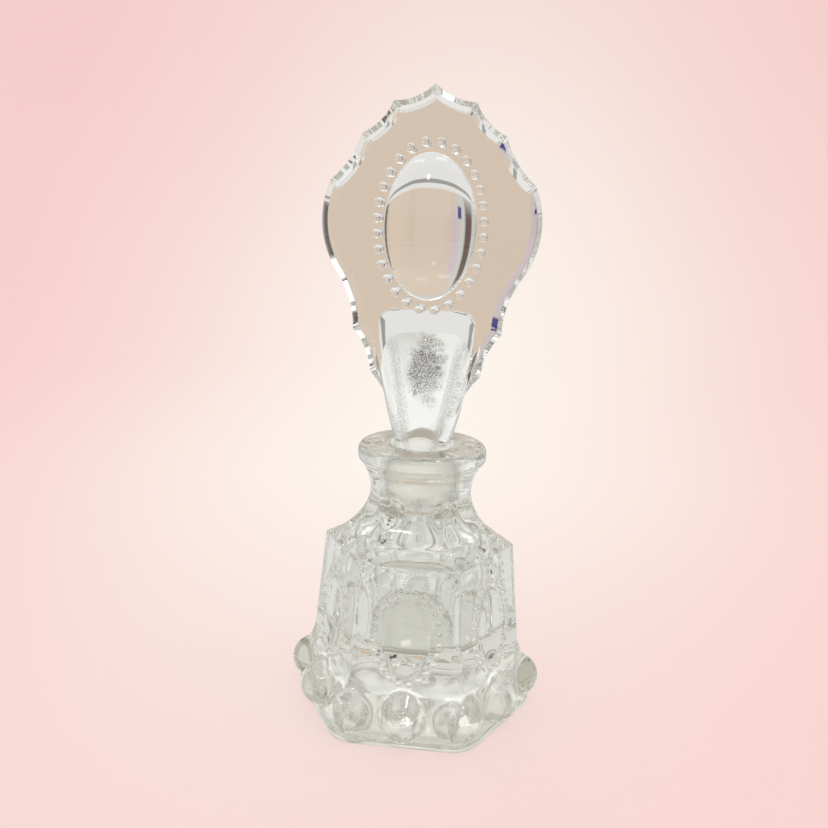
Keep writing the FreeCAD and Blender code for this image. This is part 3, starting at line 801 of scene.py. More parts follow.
# -------------------------------------------------------------------------------- stopper
@dataclass
class Stopper:
    """The pressed stopper: a scalloped plate, its stem and its ground plug."""

    half_rim: float = 1.8
    half_thick: float = 4.2
    bevel: float = 3.0
    apex: float = 170.0
    cusps: tuple[Point, ...] = ((10.6, 165.7), (18.7, 157.6), (26.7, 145.8), (24.1, 121.2),
                                (20.1, 107.0), (15.0, 95.3), (9.3, 84.0))
    lobe_after: int = 2
    scallop_sag: float = 1.05
    lobe_sag: float = 3.4
    foot_half: float = 7.9
    foot_height: float = 77.6
    oval_height: float = 134.4
    oval_half: Point = (11.9, 18.8)
    oval_dome: float = 4.1
    oval_fullness: float = 0.75
    ring_half: Point = (14.0, 21.5)
    beads: int = 28
    bead_radius: float = 1.2
    bead_dome: float = 0.8
    stem_top: float = 113.4
    stem_half: float = 15.2
    stem_waist: float = 0.8
    stem_ease: float = 0.07
    stem_square: float = 5.0
    plug_top: float = 77.4
    ground_top: float = 75.2
    ground_radius: float = 7.95
    plug_collar: float = 76.4
    plug_tip: float = 56.5
    plug_tip_round: float = 0.8
    plug_rows: tuple[int, int, int] = (2, 8, 3)
    taper: float = 0.0635
    bubble_at: Place = (3.6, -2.6, 97.8)
    bubble_half: Place = (1.2, 0.8, 0.75)
    crease: float = 24.0
    node: str = "stopper"

    # -- outline
    def _outline(self) -> list[Arc]:
        """Arcs of the outline, clockwise from the apex, without the short foot edge.

        Returns:
            The arcs in order.
        """
        right = [(0.0, self.apex), *self.cusps, (self.foot_half, self.foot_height)]
        arcs = []
        for i, (start, end) in enumerate(zip(right, right[1:])):
            sag = self.lobe_sag if i == self.lobe_after + 1 else -self.scallop_sag
            arcs.append(Arc.sagging(start, end, sag))
        left = []
        for arc in reversed(arcs):
            left.append(Arc((-arc.centre[0], arc.centre[1]), arc.radius,
                            math.pi - arc.end, math.pi - arc.start))
        return arcs + left

    def _loop(self, inset: float) -> list[Point]:
        """Points of the outline moved inwards, the same number at every inset.

        Args:
            inset: How far inside the outline.

        Returns:
            Points across and up, clockwise from the apex.
        """
        arcs = self._outline()
        moved = [arc.offset_right(inset) for arc in arcs]
        half = len(arcs) // 2
        floor = self.foot_height + inset
        joints: list[Point] = []
        for i, arc in enumerate(moved):
            corner = arcs[i].points(1)[0]
            if i == 0:
                reach = arc.radius ** 2 - arc.centre[0] ** 2
                y = arc.centre[1] - math.copysign(math.sqrt(reach), arc.centre[1] - corner[1])
                joints.append((0.0, y))
            elif i == half:
                drop = arc.radius ** 2 - (floor - arc.centre[1]) ** 2
                x = arc.centre[0] + math.copysign(math.sqrt(drop), corner[0] - arc.centre[0])
                joints.append((x, floor))
            else:
                joints.append(moved[i - 1].meeting(arc, corner))
        last_right = (-joints[half][0], joints[half][1])
        loop: list[Point] = []
        for i, arc in enumerate(moved):
            start = joints[i]
            end = joints[(i + 1) % len(moved)]
            if i == half - 1:
                end = last_right
            steps = 30 if self.lobe_after + 1 in (i, len(moved) - 1 - i) else 14
            loop += arc.between(start, end).points(steps)[:None if i == half - 1 else -1]
            if i == half - 1:
                loop += line_points(last_right, joints[half], 10)[1:-1]
        return loop

    # -- face relief
    def _face(self, x: np.ndarray, z: np.ndarray) -> np.ndarray:
        """Height of the oval and beads above the flat of the plate.

        Args:
            x: Distances across the plate.
            z: Heights.

        Returns:
            A height above the flat for each point.
        """
        up = z - self.oval_height
        fill = (x / self.oval_half[0]) ** 2 + (up / self.oval_half[1]) ** 2
        height = self.oval_dome * np.maximum(1.0 - fill, 0.0) ** self.oval_fullness
        for bead_x, bead_up in around_ellipse(self.beads, *self.ring_half):
            inside = 1.0 - ((x - bead_x) ** 2 + (up - bead_up) ** 2) / self.bead_radius ** 2
            height = np.maximum(height, self.bead_dome * np.sqrt(np.maximum(inside, 0.0)))
        return height

    def _face_points(self) -> list[Point]:
        """Points inside the plate's flat: rings on the oval and beads, and a loose grid.

        Returns:
            Points across and up.
        """
        points: list[Point] = []
        discs = [(0.0, self.oval_height, self.oval_half[0] + 0.6, self.oval_half[1] + 0.6)]
        oval = [math.sin(math.radians(t)) for t in (0, 8, 16, 24, 32, 40, 48, 56, 64, 71, 77,
                                                    82, 86, 90)]
        for k in oval + [1.02]:
            for i in range(72 if k else 1):
                turn = math.tau * i / 72
                points.append((k * self.oval_half[0] * math.sin(turn),
                               self.oval_height + k * self.oval_half[1] * math.cos(turn)))
        for x, up in around_ellipse(self.beads, *self.ring_half):
            discs.append((x, self.oval_height + up, self.bead_radius + 0.4,
                          self.bead_radius + 0.4))
            for k in (0.0, 0.3, 0.58, 0.8, 0.93, 0.985, 1.0, 1.08):
                for i in range(20 if k else 1):
                    turn = math.tau * i / 20
                    points.append((x + k * self.bead_radius * math.sin(turn),
                                   self.oval_height + up + k * self.bead_radius * math.cos(turn)))
        guard = np.array(self._loop(self.bevel + 0.9))
        for x in np.arange(-26.0, 26.1, 2.0):
            for z in np.arange(80.0, 168.0, 2.0):
                near = np.min(np.hypot(guard[:, 0] - x, guard[:, 1] - z))
                clear = all(((x - a) / rx) ** 2 + ((z - b) / ry) ** 2 > 1 for a, b, rx, ry in discs)
                if clear and near > 0.7 and inside_loop(guard, x, z):
                    points.append((float(x), float(z)))
        return points

    def _plate(self, finishes: list[bpy.types.Material]) -> bpy.types.Object:
        """Make the plate: a rim, a bevel on each side, and two pressed faces.

        Args:
            finishes: Its materials, in the order of Skin.

        Returns:
            The plate as a closed mesh.
        """
        shell = Shell()
        steps = ((0.0, self.half_rim - 0.3), (0.12, self.half_rim),
                 (self.bevel - 0.12, self.half_thick - 0.09), (self.bevel + 0.18, self.half_thick))
        loops = {}
        for side in (-1, 1):
            for inset, depth in steps:
                loops[side, inset] = shell.add(
                    [Vector((x, side * depth, z)) for x, z in self._loop(inset)])
        insets = [inset for inset, _ in steps]
        shell.strip(loops[-1, 0.0], loops[1, 0.0], Skin.POLISHED)
        for side in (-1, 1):
            for outer, inner in zip(insets, insets[1:]):
                shell.strip(loops[side, outer], loops[side, inner], Skin.POLISHED)
        border = self._loop(insets[-1])
        flat = [Vector(p) for p in border + self._face_points()]
        ring = list(range(len(border)))
        spots, _, triangles, _, _, _ = delaunay_2d_cdt(flat, [], [ring], 1, 1e-5)
        x = np.array([p.x for p in spots])
        z = np.array([p.y for p in spots])
        relief = self._face(x, z)
        for side in (-1, 1):
            numbers = shell.add([Vector((a, side * (self.half_thick + h), c))
                                 for a, c, h in zip(x, z, relief)])
            for triangle in triangles:
                shell.faces.append(([numbers[i] for i in triangle], Skin.POLISHED))
        plate = shell.to_object("stopper_glass", finishes)
        face_outwards(plate)
        return plate

    def _stem_section(self, height: float, count: int) -> list[Vector]:
        """One level section of the stem: a flat pad at its top, a circle at the plug.

        Args:
            height: Height of the section.
            count: How many points.

        Returns:
            The points, counter-clockwise from above.
        """
        share = (height - self.plug_top) / (self.stem_top - self.plug_top)
        rise = (1.0 - share) * min(1.0, (1.0 - share) / self.stem_ease)
        wide = self.ground_radius + share ** self.stem_waist * (self.stem_half
                                                                - self.ground_radius)
        deep = self.half_thick + rise * (self.ground_radius - self.half_thick)
        power = 2.0 + self.stem_square * share
        section = []
        for i in range(count):
            turn = math.tau * (i + 0.5) / count
            across, out = math.cos(turn), math.sin(turn)
            size = (abs(across) ** power + abs(out) ** power) ** (-1.0 / power)
            section.append(Vector((wide * size * across, deep * size * out, height)))
        return section

    def _plug_radius(self, height: float) -> float:
        """Radius of the tapered plug at a height."""
        return self.ground_radius - self.taper * (self.ground_top - height)

    def _stem(self, finishes: list[bpy.types.Material]) -> bpy.types.Object:
        """Make the stem and the ground plug as one closed form.

        Args:
            finishes: Its materials, in the order of Skin.

        Returns:
            The stem as a closed mesh, to be joined to the plate.
        """
        shell = Shell()
        count = 96
        rows = []
        reach = self.stem_top
        for height in np.linspace(reach - 0.4, self.plug_top, 36):
            rows.append((shell.add(self._stem_section(float(height), count)), Skin.POLISHED))
        low = self.plug_tip + self.plug_tip_round
        collar, frosted, clear = self.plug_rows
        plug = [(self.ground_radius, self.plug_collar), (self.ground_radius, self.ground_top)]
        plug += [(self._plug_radius(z), z)
                 for z in np.linspace(self.ground_top, low, frosted + clear + 1)[1:]]
        skins = [Skin.POLISHED] * collar + [Skin.GROUND] * frosted + [Skin.POLISHED] * clear
        foot = self._plug_radius(low)
        end = Arc.through((foot, low), (foot - 0.25, low - 0.6),
                          (foot - self.plug_tip_round, self.plug_tip)).points(5)[1:]
        plug += end
        skins += [Skin.POLISHED] * len(end)
        for (r, z), skin in zip(plug, skins):
            rows.append((shell.add([Vector((r * math.cos(a), r * math.sin(a), z))
                                    for a in (math.tau * (i + 0.5) / count
                                              for i in range(count))]), skin))
        for (high, _), (under, skin) in zip(rows, rows[1:]):
            shell.strip(high, under, skin)
        shell.cap(rows[0][0], Vector((0.0, 0.0, reach + 0.6)), Skin.POLISHED)
        shell.cap(rows[-1][0], Vector((0.0, 0.0, self.plug_tip)), Skin.POLISHED)
        stem = shell.to_object("stem_tool", finishes)
        face_outwards(stem)
        return stem

    def build(self, finishes: list[bpy.types.Material]) -> bpy.types.Object:
        """Join plate and stem into one closed mesh and hang it on the frame.

        Args:
            finishes: Its materials, in the order of Skin.

        Returns:
            The finished stopper.
        """
        plate = self._plate(finishes)
        stem = self._stem(finishes)
        union = plate.modifiers.new("stem", "BOOLEAN")
        union.operation = "UNION"
        union.solver = "EXACT"
        union.object = stem
        bpy.context.view_layer.update()
        graph = bpy.context.evaluated_depsgraph_get()
        merged = bpy.data.meshes.new_from_object(plate.evaluated_get(graph))
        plate.modifiers.clear()
        plate.data = merged
        bpy.data.objects.remove(stem)
        trapped = Shell()
        trapped.bubble(Vector(self.bubble_at), Vector(self.bubble_half))
        add_shell(plate, trapped)
        finish_shading(plate, self.crease)
        report_mesh(plate)
        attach(plate, "stopper")
        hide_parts(self.node)
        return plate


def inside_loop(loop: np.ndarray, x: float, y: float) -> bool:
    """Tell whether a point lies inside a closed loop of points.

    Args:
        loop: Rows of across and up.
        x: The point, across.
        y: The point, up.

    Returns:
        True inside the loop.
    """
    ahead = np.roll(loop, -1, axis=0)
    crosses = (loop[:, 1] > y) != (ahead[:, 1] > y)
    rise = np.where(crosses, ahead[:, 1] - loop[:, 1], 1.0)
    at = loop[:, 0] + (y - loop[:, 1]) / rise * (ahead[:, 0] - loop[:, 0])
    return bool(np.sum(crosses & (x < at)) % 2)


def add_shell(piece: bpy.types.Object, shell: Shell) -> None:
    """Add a shell's points and faces, in millimetres, to a finished piece's mesh.

    Args:
        piece: The object that takes them.
        shell: The points and faces to add.
    """
    work = bmesh.new()
    work.from_mesh(piece.data)
    verts = [work.verts.new(p * MM) for p in shell.points]
    for numbers, skin in shell.faces:
        face = work.faces.new([verts[i] for i in numbers])
        face.material_index = skin.value
    work.to_mesh(piece.data)
    work.free()


# -------------------------------------------------------------------------------- finishes
class NodeDesk:
    """A short-hand for wiring shader nodes."""

    def __init__(self, tree: bpy.types.NodeTree) -> None:
        """Keep the node tree that the nodes go into."""
        self.nodes, self.links = tree.nodes, tree.links

    def put(self, kind: str, **settings: object) -> bpy.types.Node:
        """Add a node and set its properties.

        Args:
            kind: The node's type name.
            **settings: Property values by name.

        Returns:
            The new node.
        """
        node = self.nodes.new(kind)
        for name, value in settings.items():
            setattr(node, name, value)
        return node

    def feed(self, socket: bpy.types.NodeSocket, value: object) -> None:
        """Set a socket to a plain value, or link another socket to it.

        Args:
            socket: The input to set.
            value: A plain value or an output socket.
        """
        if isinstance(value, bpy.types.NodeSocket):
            self.links.new(value, socket)
        else:
            socket.default_value = value

    def maths(self, operation: str, *values: object) -> bpy.types.NodeSocket:
        """Add a maths node and return its result.

        Args:
            operation: What the node works out.
            *values: Its inputs, plain or as sockets.

        Returns:
            The result.
        """
        node = self.put("ShaderNodeMath", operation=operation)
        for socket, value in zip(node.inputs, values):
            self.feed(socket, value)
        return node.outputs["Value"]

    def noise(self, place: bpy.types.NodeSocket, scale: float,
              detail: float) -> bpy.types.NodeSocket:
        """Add a noise texture and return its value.

        Args:
            place: Where the noise is read.
            scale: Lumps per metre.
            detail: How many finer layers it has.

        Returns:
            The noise, 0 to 1.
        """
        node = self.put("ShaderNodeTexNoise")
        node.inputs["Scale"].default_value = scale
        node.inputs["Detail"].default_value = detail
        self.links.new(place, node.inputs["Vector"])
        return node.outputs["Fac"]

    def bump(self, height: bpy.types.NodeSocket, depth: float,
             under: bpy.types.NodeSocket | None = None) -> bpy.types.NodeSocket:
        """Add a bump of a depth in metres, over another normal if one is given.

        Args:
            height: The relief, 0 to 1.
            depth: Its depth in metres.
            under: A normal that the bump is laid over.

        Returns:
            The new normal.
        """
        node = self.put("ShaderNodeBump")
        node.inputs["Strength"].default_value = 1.0
        node.inputs["Distance"].default_value = depth
        self.links.new(height, node.inputs["Height"])
        if under is not None:
            self.links.new(under, node.inputs["Normal"])
        return node.outputs["Normal"]

    def dot(self, vector: bpy.types.NodeSocket, other: Vector) -> bpy.types.NodeSocket:
        """Return the dot product of a vector socket and a fixed vector.

        Args:
            vector: The vector socket.
            other: The fixed vector.

        Returns:
            Their dot product.
        """
        node = self.put("ShaderNodeVectorMath", operation="DOT_PRODUCT")
        self.links.new(vector, node.inputs[0])
        node.inputs[1].default_value = other
        return node.outputs["Value"]

    def fade(self, value: object, start: float, end: float) -> bpy.types.NodeSocket:
        """Return 0 to 1 smoothly as a value goes from start to end.

        Args:
            value: A plain value or a socket.
            start: Where the result is 0.
            end: Where it is 1.

        Returns:
            The eased share.
        """
        node = self.put("ShaderNodeMapRange", interpolation_type="SMOOTHSTEP")
        self.feed(node.inputs["Value"], value)
        node.inputs["From Min"].default_value = start
        node.inputs["From Max"].default_value = end
        return node.outputs["Result"]

    def blend(self, factor: object, low: object, high: object) -> bpy.types.NodeSocket:
        """Mix two colours, given plain or as sockets.

        Args:
            factor: Share of the second colour.
            low: The first colour.
            high: The second colour.

        Returns:
            The mixed colour.
        """
        node = self.put("ShaderNodeMix", data_type="RGBA")
        self.feed(node.inputs["Factor"], factor)
        for name, value in (("A", low), ("B", high)):
            self.feed(node.inputs[name], (*value, 1.0) if isinstance(value, tuple) else value)
        return node.outputs["Result"]


@dataclass(frozen=True)
class StippleShade:
    """Grain in the stem's glass, with dark specks of painted shade: a ragged patch in the middle
    and a band down each side.

    Lengths are in metres. Each band lies band_inset inside a slanting edge that starts at
    band_foot and moves out by band_slope, and it stops band_top above its foot.
    """

    middle: Colour
    half: Colour
    band_foot: Point
    band_slope: float
    band_inset: Point
    band_top: float
    band_share: float
    grains_per_metre: float
    depth: float
    shade: Colour

    def mask(self, desk: NodeDesk, place: bpy.types.NodeSocket) -> bpy.types.NodeSocket:
        """Return 1 where the glass is grainy and painted with dark specks of shade: the middle
        patch and a band at each side.

        Args:
            desk: The node tree's desk.
            place: Object coordinates.

        Returns:
            The mask's socket.
        """
        offset = desk.put("ShaderNodeVectorMath", operation="SUBTRACT")
        desk.links.new(place, offset.inputs[0])
        offset.inputs[1].default_value = self.middle
        scaled = desk.put("ShaderNodeVectorMath", operation="DIVIDE")
        desk.links.new(offset.outputs["Vector"], scaled.inputs[0])
        scaled.inputs[1].default_value = self.half
        away = desk.put("ShaderNodeVectorMath", operation="LENGTH")
        desk.links.new(scaled.outputs["Vector"], away.inputs[0])
        cloud = desk.noise(place, 260.0, 2.0)
        ragged = desk.maths("MULTIPLY_ADD", cloud, 1.6, away.outputs["Value"])
        split = desk.put("ShaderNodeSeparateXYZ")
        desk.links.new(place, split.inputs[0])
        rise = desk.maths("SUBTRACT", split.outputs["Z"], self.band_foot[1])
        edge = desk.maths("MULTIPLY_ADD", rise, self.band_slope, self.band_foot[0])
        inset = desk.maths("SUBTRACT", edge, desk.maths("ABSOLUTE", split.outputs["X"]))
        near, far = self.band_inset
        soft = 0.3 * (far - near)
        inset = desk.maths("MULTIPLY_ADD", cloud, 2.0 * soft, inset)
        band = desk.maths("MULTIPLY", desk.fade(inset, near, near + soft),
                          desk.fade(inset, far + 2.0 * soft, far + soft))
        short = desk.fade(rise, self.band_top, self.band_top - 0.008)
        band = desk.maths("MULTIPLY", band, desk.maths("MULTIPLY", short, self.band_share))
        return desk.maths("MAXIMUM", desk.fade(ragged, 2.1, 1.5), band)


@dataclass(frozen=True)
class GlassFinish:
    """A glass surface: its tint, its polish and the waviness the mould leaves.

    The tint wanders between tint and tint_drift. With the foot tint set, the glass below
    the heights in foot_fade takes that darker tint, painted shade that darkens the bosses.
    """

    name: str
    tint: Colour
    tint_drift: Colour
    roughness: tuple[float, float]
    ripples_per_metre: float
    ripple_depth: float
    grains_per_metre: float
    grain_depth: float
    clarity: float = 1.0
    ior: float = 1.52
    stipple_shade: StippleShade | None = None
    foot_shade_tint: Colour | None = None
    foot_fade: Point = (0.009, 0.017)

    def material(self) -> bpy.types.Material:
        """Build the node material.

        Returns:
            The new material.
        """
        made = bpy.data.materials.new(self.name)
        made.use_nodes = True
        desk = NodeDesk(made.node_tree)
        shader = desk.nodes["Principled BSDF"]
        shader.inputs["IOR"].default_value = self.ior
        shader.inputs["Transmission Weight"].default_value = self.clarity
        place = desk.put("ShaderNodeTexCoord").outputs["Object"]
        cloud = desk.noise(place, self.ripples_per_metre * 0.6, 2.0)
        tint = desk.blend(cloud, self.tint, self.tint_drift)
        grain = desk.noise(place, self.grains_per_metre, 3.0)
        polish = desk.put("ShaderNodeMapRange")
        for name, value in (("From Min", 0.35), ("From Max", 0.7),
                            ("To Min", self.roughness[0]), ("To Max", self.roughness[1])):
            polish.inputs[name].default_value = value
        desk.links.new(grain, polish.inputs["Value"])
        desk.links.new(polish.outputs["Result"], shader.inputs["Roughness"])
        ripple = desk.noise(place, self.ripples_per_metre, 1.0)
        normal = desk.bump(ripple, self.ripple_depth)
        if self.grain_depth > 0:
            normal = desk.bump(grain, self.grain_depth, normal)
        # Painted shade: the glass turns darker below foot_fade, to darken the bosses.
        if self.foot_shade_tint is not None:
            split = desk.put("ShaderNodeSeparateXYZ")
            desk.links.new(place, split.inputs[0])
            tint = desk.blend(desk.fade(split.outputs["Z"], *self.foot_fade), self.foot_shade_tint, tint)
        if self.stipple_shade is not None:
            grain_and_shade_mask = self.stipple_shade.mask(desk, place)
            specks = desk.noise(place, self.stipple_shade.grains_per_metre, 1.0)
            rough = desk.maths("MULTIPLY", specks, grain_and_shade_mask)
            normal = desk.bump(rough, self.stipple_shade.depth, normal)
            # Painted shade: dark specks blended into the tint where the stem is grainy; the bump
            # above is the real grain.
            dark = desk.maths("MULTIPLY", desk.fade(specks, 0.46, 0.56), grain_and_shade_mask)
            tint = desk.blend(dark, tint, self.stipple_shade.shade)
        desk.links.new(tint, shader.inputs["Base Color"])
        desk.links.new(normal, shader.inputs["Normal"])
        return made


BODY_GLASS = GlassFinish(
    name="pressed_clear_glass",
    tint=(0.88, 0.88, 0.85), tint_drift=(0.92, 0.92, 0.885),
    roughness=(0.0, 0.015),
    ripples_per_metre=90.0, ripple_depth=0.00012,
    grains_per_metre=900.0, grain_depth=0.0,
    foot_shade_tint=(0.785, 0.77, 0.705))
STOPPER_GLASS = GlassFinish(
    name="stopper_clear_glass",
    tint=(0.965, 0.955, 0.94), tint_drift=(0.985, 0.98, 0.965),
    roughness=(0.0, 0.012),
    ripples_per_metre=60.0, ripple_depth=0.00008,
    grains_per_metre=900.0, grain_depth=0.0,
    stipple_shade=StippleShade(
        middle=(0.0, 0.0, 0.0965), half=(0.0052, 0.012, 0.0085),
        band_foot=(0.0082, 0.0774), band_slope=0.2, band_inset=(0.0036, 0.0050),
        band_top=0.029, band_share=0.5,
        grains_per_metre=3600.0, depth=0.00016, shade=(0.09, 0.09, 0.10)))
GROUND_GLASS = GlassFinish(
    name="ground_glass",
    tint=(0.985, 0.98, 0.945), tint_drift=(1.0, 0.995, 0.97),
    roughness=(0.26, 0.38),
    ripples_per_metre=90.0, ripple_depth=0.00005,
    grains_per_metre=2600.0, grain_depth=0.00002,
    clarity=0.96, ior=1.2)
# The sole is rough from real wear; its dark olive tint is painted shade that darkens the bosses.
WORN_SHADED_GLASS = GlassFinish(
    name="worn_sole_shaded_glass",
    tint=(0.70, 0.69, 0.60), tint_drift=(0.80, 0.79, 0.705),
    roughness=(0.04, 0.14),
    ripples_per_metre=90.0, ripple_depth=0.00010,
    grains_per_metre=1800.0, grain_depth=0.00002,
    clarity=0.95)
HOLLOW_GLASS = GlassFinish(
    name="hollow_wall_glass",
    tint=(0.87, 0.875, 0.86), tint_drift=(0.91, 0.91, 0.90),
    roughness=(0.02, 0.08),
    ripples_per_metre=70.0, ripple_depth=0.00025,
    grains_per_metre=900.0, grain_depth=0.0)


# ---------------------------------------------------------------------------------- studio
@dataclass(frozen=True)
class Patch:
    """A soft-edged patch of the room as seen from the object: a window, door or curtain."""

    azimuth: float
    elevation: float
    half_width: float
    half_height: float
    colour: Colour
    softness: float = 0.25


@dataclass
class Room:
    """What the glass looks out at: a white table with a painted shadow straight below, pale walls
    and a sand-coloured one.
    """

    table: Colour = (0.80, 0.80, 0.785)
    table_edge: Colour = (0.33, 0.32, 0.30)
    shadow_below_bottle: Colour = (0.44, 0.425, 0.37)
    sill: Colour = (0.80, 0.795, 0.77)
    walls: Colour = (0.60, 0.60, 0.57)
    ceiling: Colour = (1.15, 1.15, 1.12)
    horizon: float = -10.6
    edge_width: float = 0.9
    sill_width: float = 1.3
    wall_top: float = 38.0
    shade_start: float = -36.0
    shade_end: float = -58.0
    ceiling_fade: float = 14.0
    edge_fade: float = 0.4
    sill_fade: float = 0.8
    patches: tuple[Patch, ...] = (
        Patch(9.0, 6.0, 31.0, 19.0, (0.69, 0.57, 0.455), 0.12),
        Patch(176.0, 14.0, 50.0, 26.0, (0.44, 0.435, 0.42), 0.4),
        Patch(-21.0, 4.0, 3.2, 9.0, (0.64, 0.53, 0.55), 0.3),
        Patch(-36.0, 7.0, 6.0, 14.0, (0.10, 0.055, 0.035), 0.3),
        Patch(-24.0, -4.2, 1.6, 1.4, (0.06, 0.05, 0.22)),
        Patch(45.0, 3.0, 8.0, 16.0, (0.07, 0.06, 0.05)),
        Patch(100.0, 5.0, 6.0, 14.0, (0.10, 0.09, 0.08)),
        Patch(-100.0, 5.0, 6.0, 14.0, (0.10, 0.09, 0.10)),
        Patch(150.0, 10.0, 5.0, 20.0, (0.06, 0.055, 0.05)),
        Patch(-150.0, 10.0, 5.0, 20.0, (0.06, 0.055, 0.05)),
        Patch(160.0, 56.0, 9.0, 3.5, (4.5, 4.5, 4.4)),
        Patch(-140.0, 48.0, 10.0, 2.5, (4.0, 4.0, 3.9)),
        Patch(95.0, 34.0, 2.5, 9.0, (2.6, 2.6, 2.5)),
        Patch(-95.0, 30.0, 2.5, 9.0, (2.2, 2.2, 2.1)),
    )

    def world(self) -> bpy.types.World:
        """Build the room as a world shader.

        Returns:
            The new world.
        """
        world = bpy.data.worlds.new("room")
        world.use_nodes = True
        desk = NodeDesk(world.node_tree)
        look = desk.put("ShaderNodeTexCoord").outputs["Generated"]
        up = desk.maths("DIVIDE", desk.maths("ARCSINE", desk.dot(look, Vector((0, 0, 1)))),
                        math.radians(1.0))
        low = self.horizon - self.edge_width
        colour = desk.blend(desk.fade(up, self.wall_top - self.ceiling_fade,
                                      self.wall_top + self.ceiling_fade),
                            self.walls, self.ceiling)
        for patch in self.patches:
            colour = desk.blend(self._mask(desk, look, patch), colour, patch.colour)
        sill_top = self.horizon + self.sill_width
        colour = desk.blend(desk.fade(up, sill_top, sill_top + self.sill_fade), self.sill,
                            colour)
        colour = desk.blend(desk.fade(up, self.horizon, self.horizon + self.edge_fade),
                            self.table_edge, colour)
        # Painted shadow: the table darkens towards straight below, where the bottle shades it.
        table = desk.blend(desk.fade(up, self.shade_start, self.shade_end), self.table,
                           self.shadow_below_bottle)
        colour = desk.blend(desk.fade(up, low - self.edge_fade, low), table, colour)
        background = world.node_tree.nodes["Background"]
        desk.feed(background.inputs["Color"], colour)
        background.inputs["Strength"].default_value = 1.0
        return world

    @staticmethod
    def _mask(desk: NodeDesk, look: bpy.types.NodeSocket, patch: Patch) -> bpy.types.NodeSocket:
        """Return 1 inside a patch and 0 outside it, with a soft edge.

        Args:
            desk: The world's desk.
            look: The direction that is looked in.
            patch: The patch.

        Returns:
            The mask's socket.
        """
        turn, lift = math.radians(patch.azimuth), math.radians(patch.elevation)
        ahead = Vector((math.sin(turn) * math.cos(lift), math.cos(turn) * math.cos(lift),
                        math.sin(lift)))
        across = Vector((math.cos(turn), -math.sin(turn), 0.0))
        above = across.cross(ahead)
        away = []
        for axis, half in ((across, patch.half_width), (above, patch.half_height)):
            size = desk.maths("ABSOLUTE", desk.dot(look, axis))
            away.append(desk.maths("DIVIDE", size, math.sin(math.radians(half))))
        edge = desk.maths("MAXIMUM", *away)
        inside = desk.fade(edge, 1.0 + patch.softness, 1.0 - patch.softness)
        facing = desk.fade(desk.dot(look, ahead), 0.0, 0.05)
        return desk.maths("MULTIPLY", inside, facing)


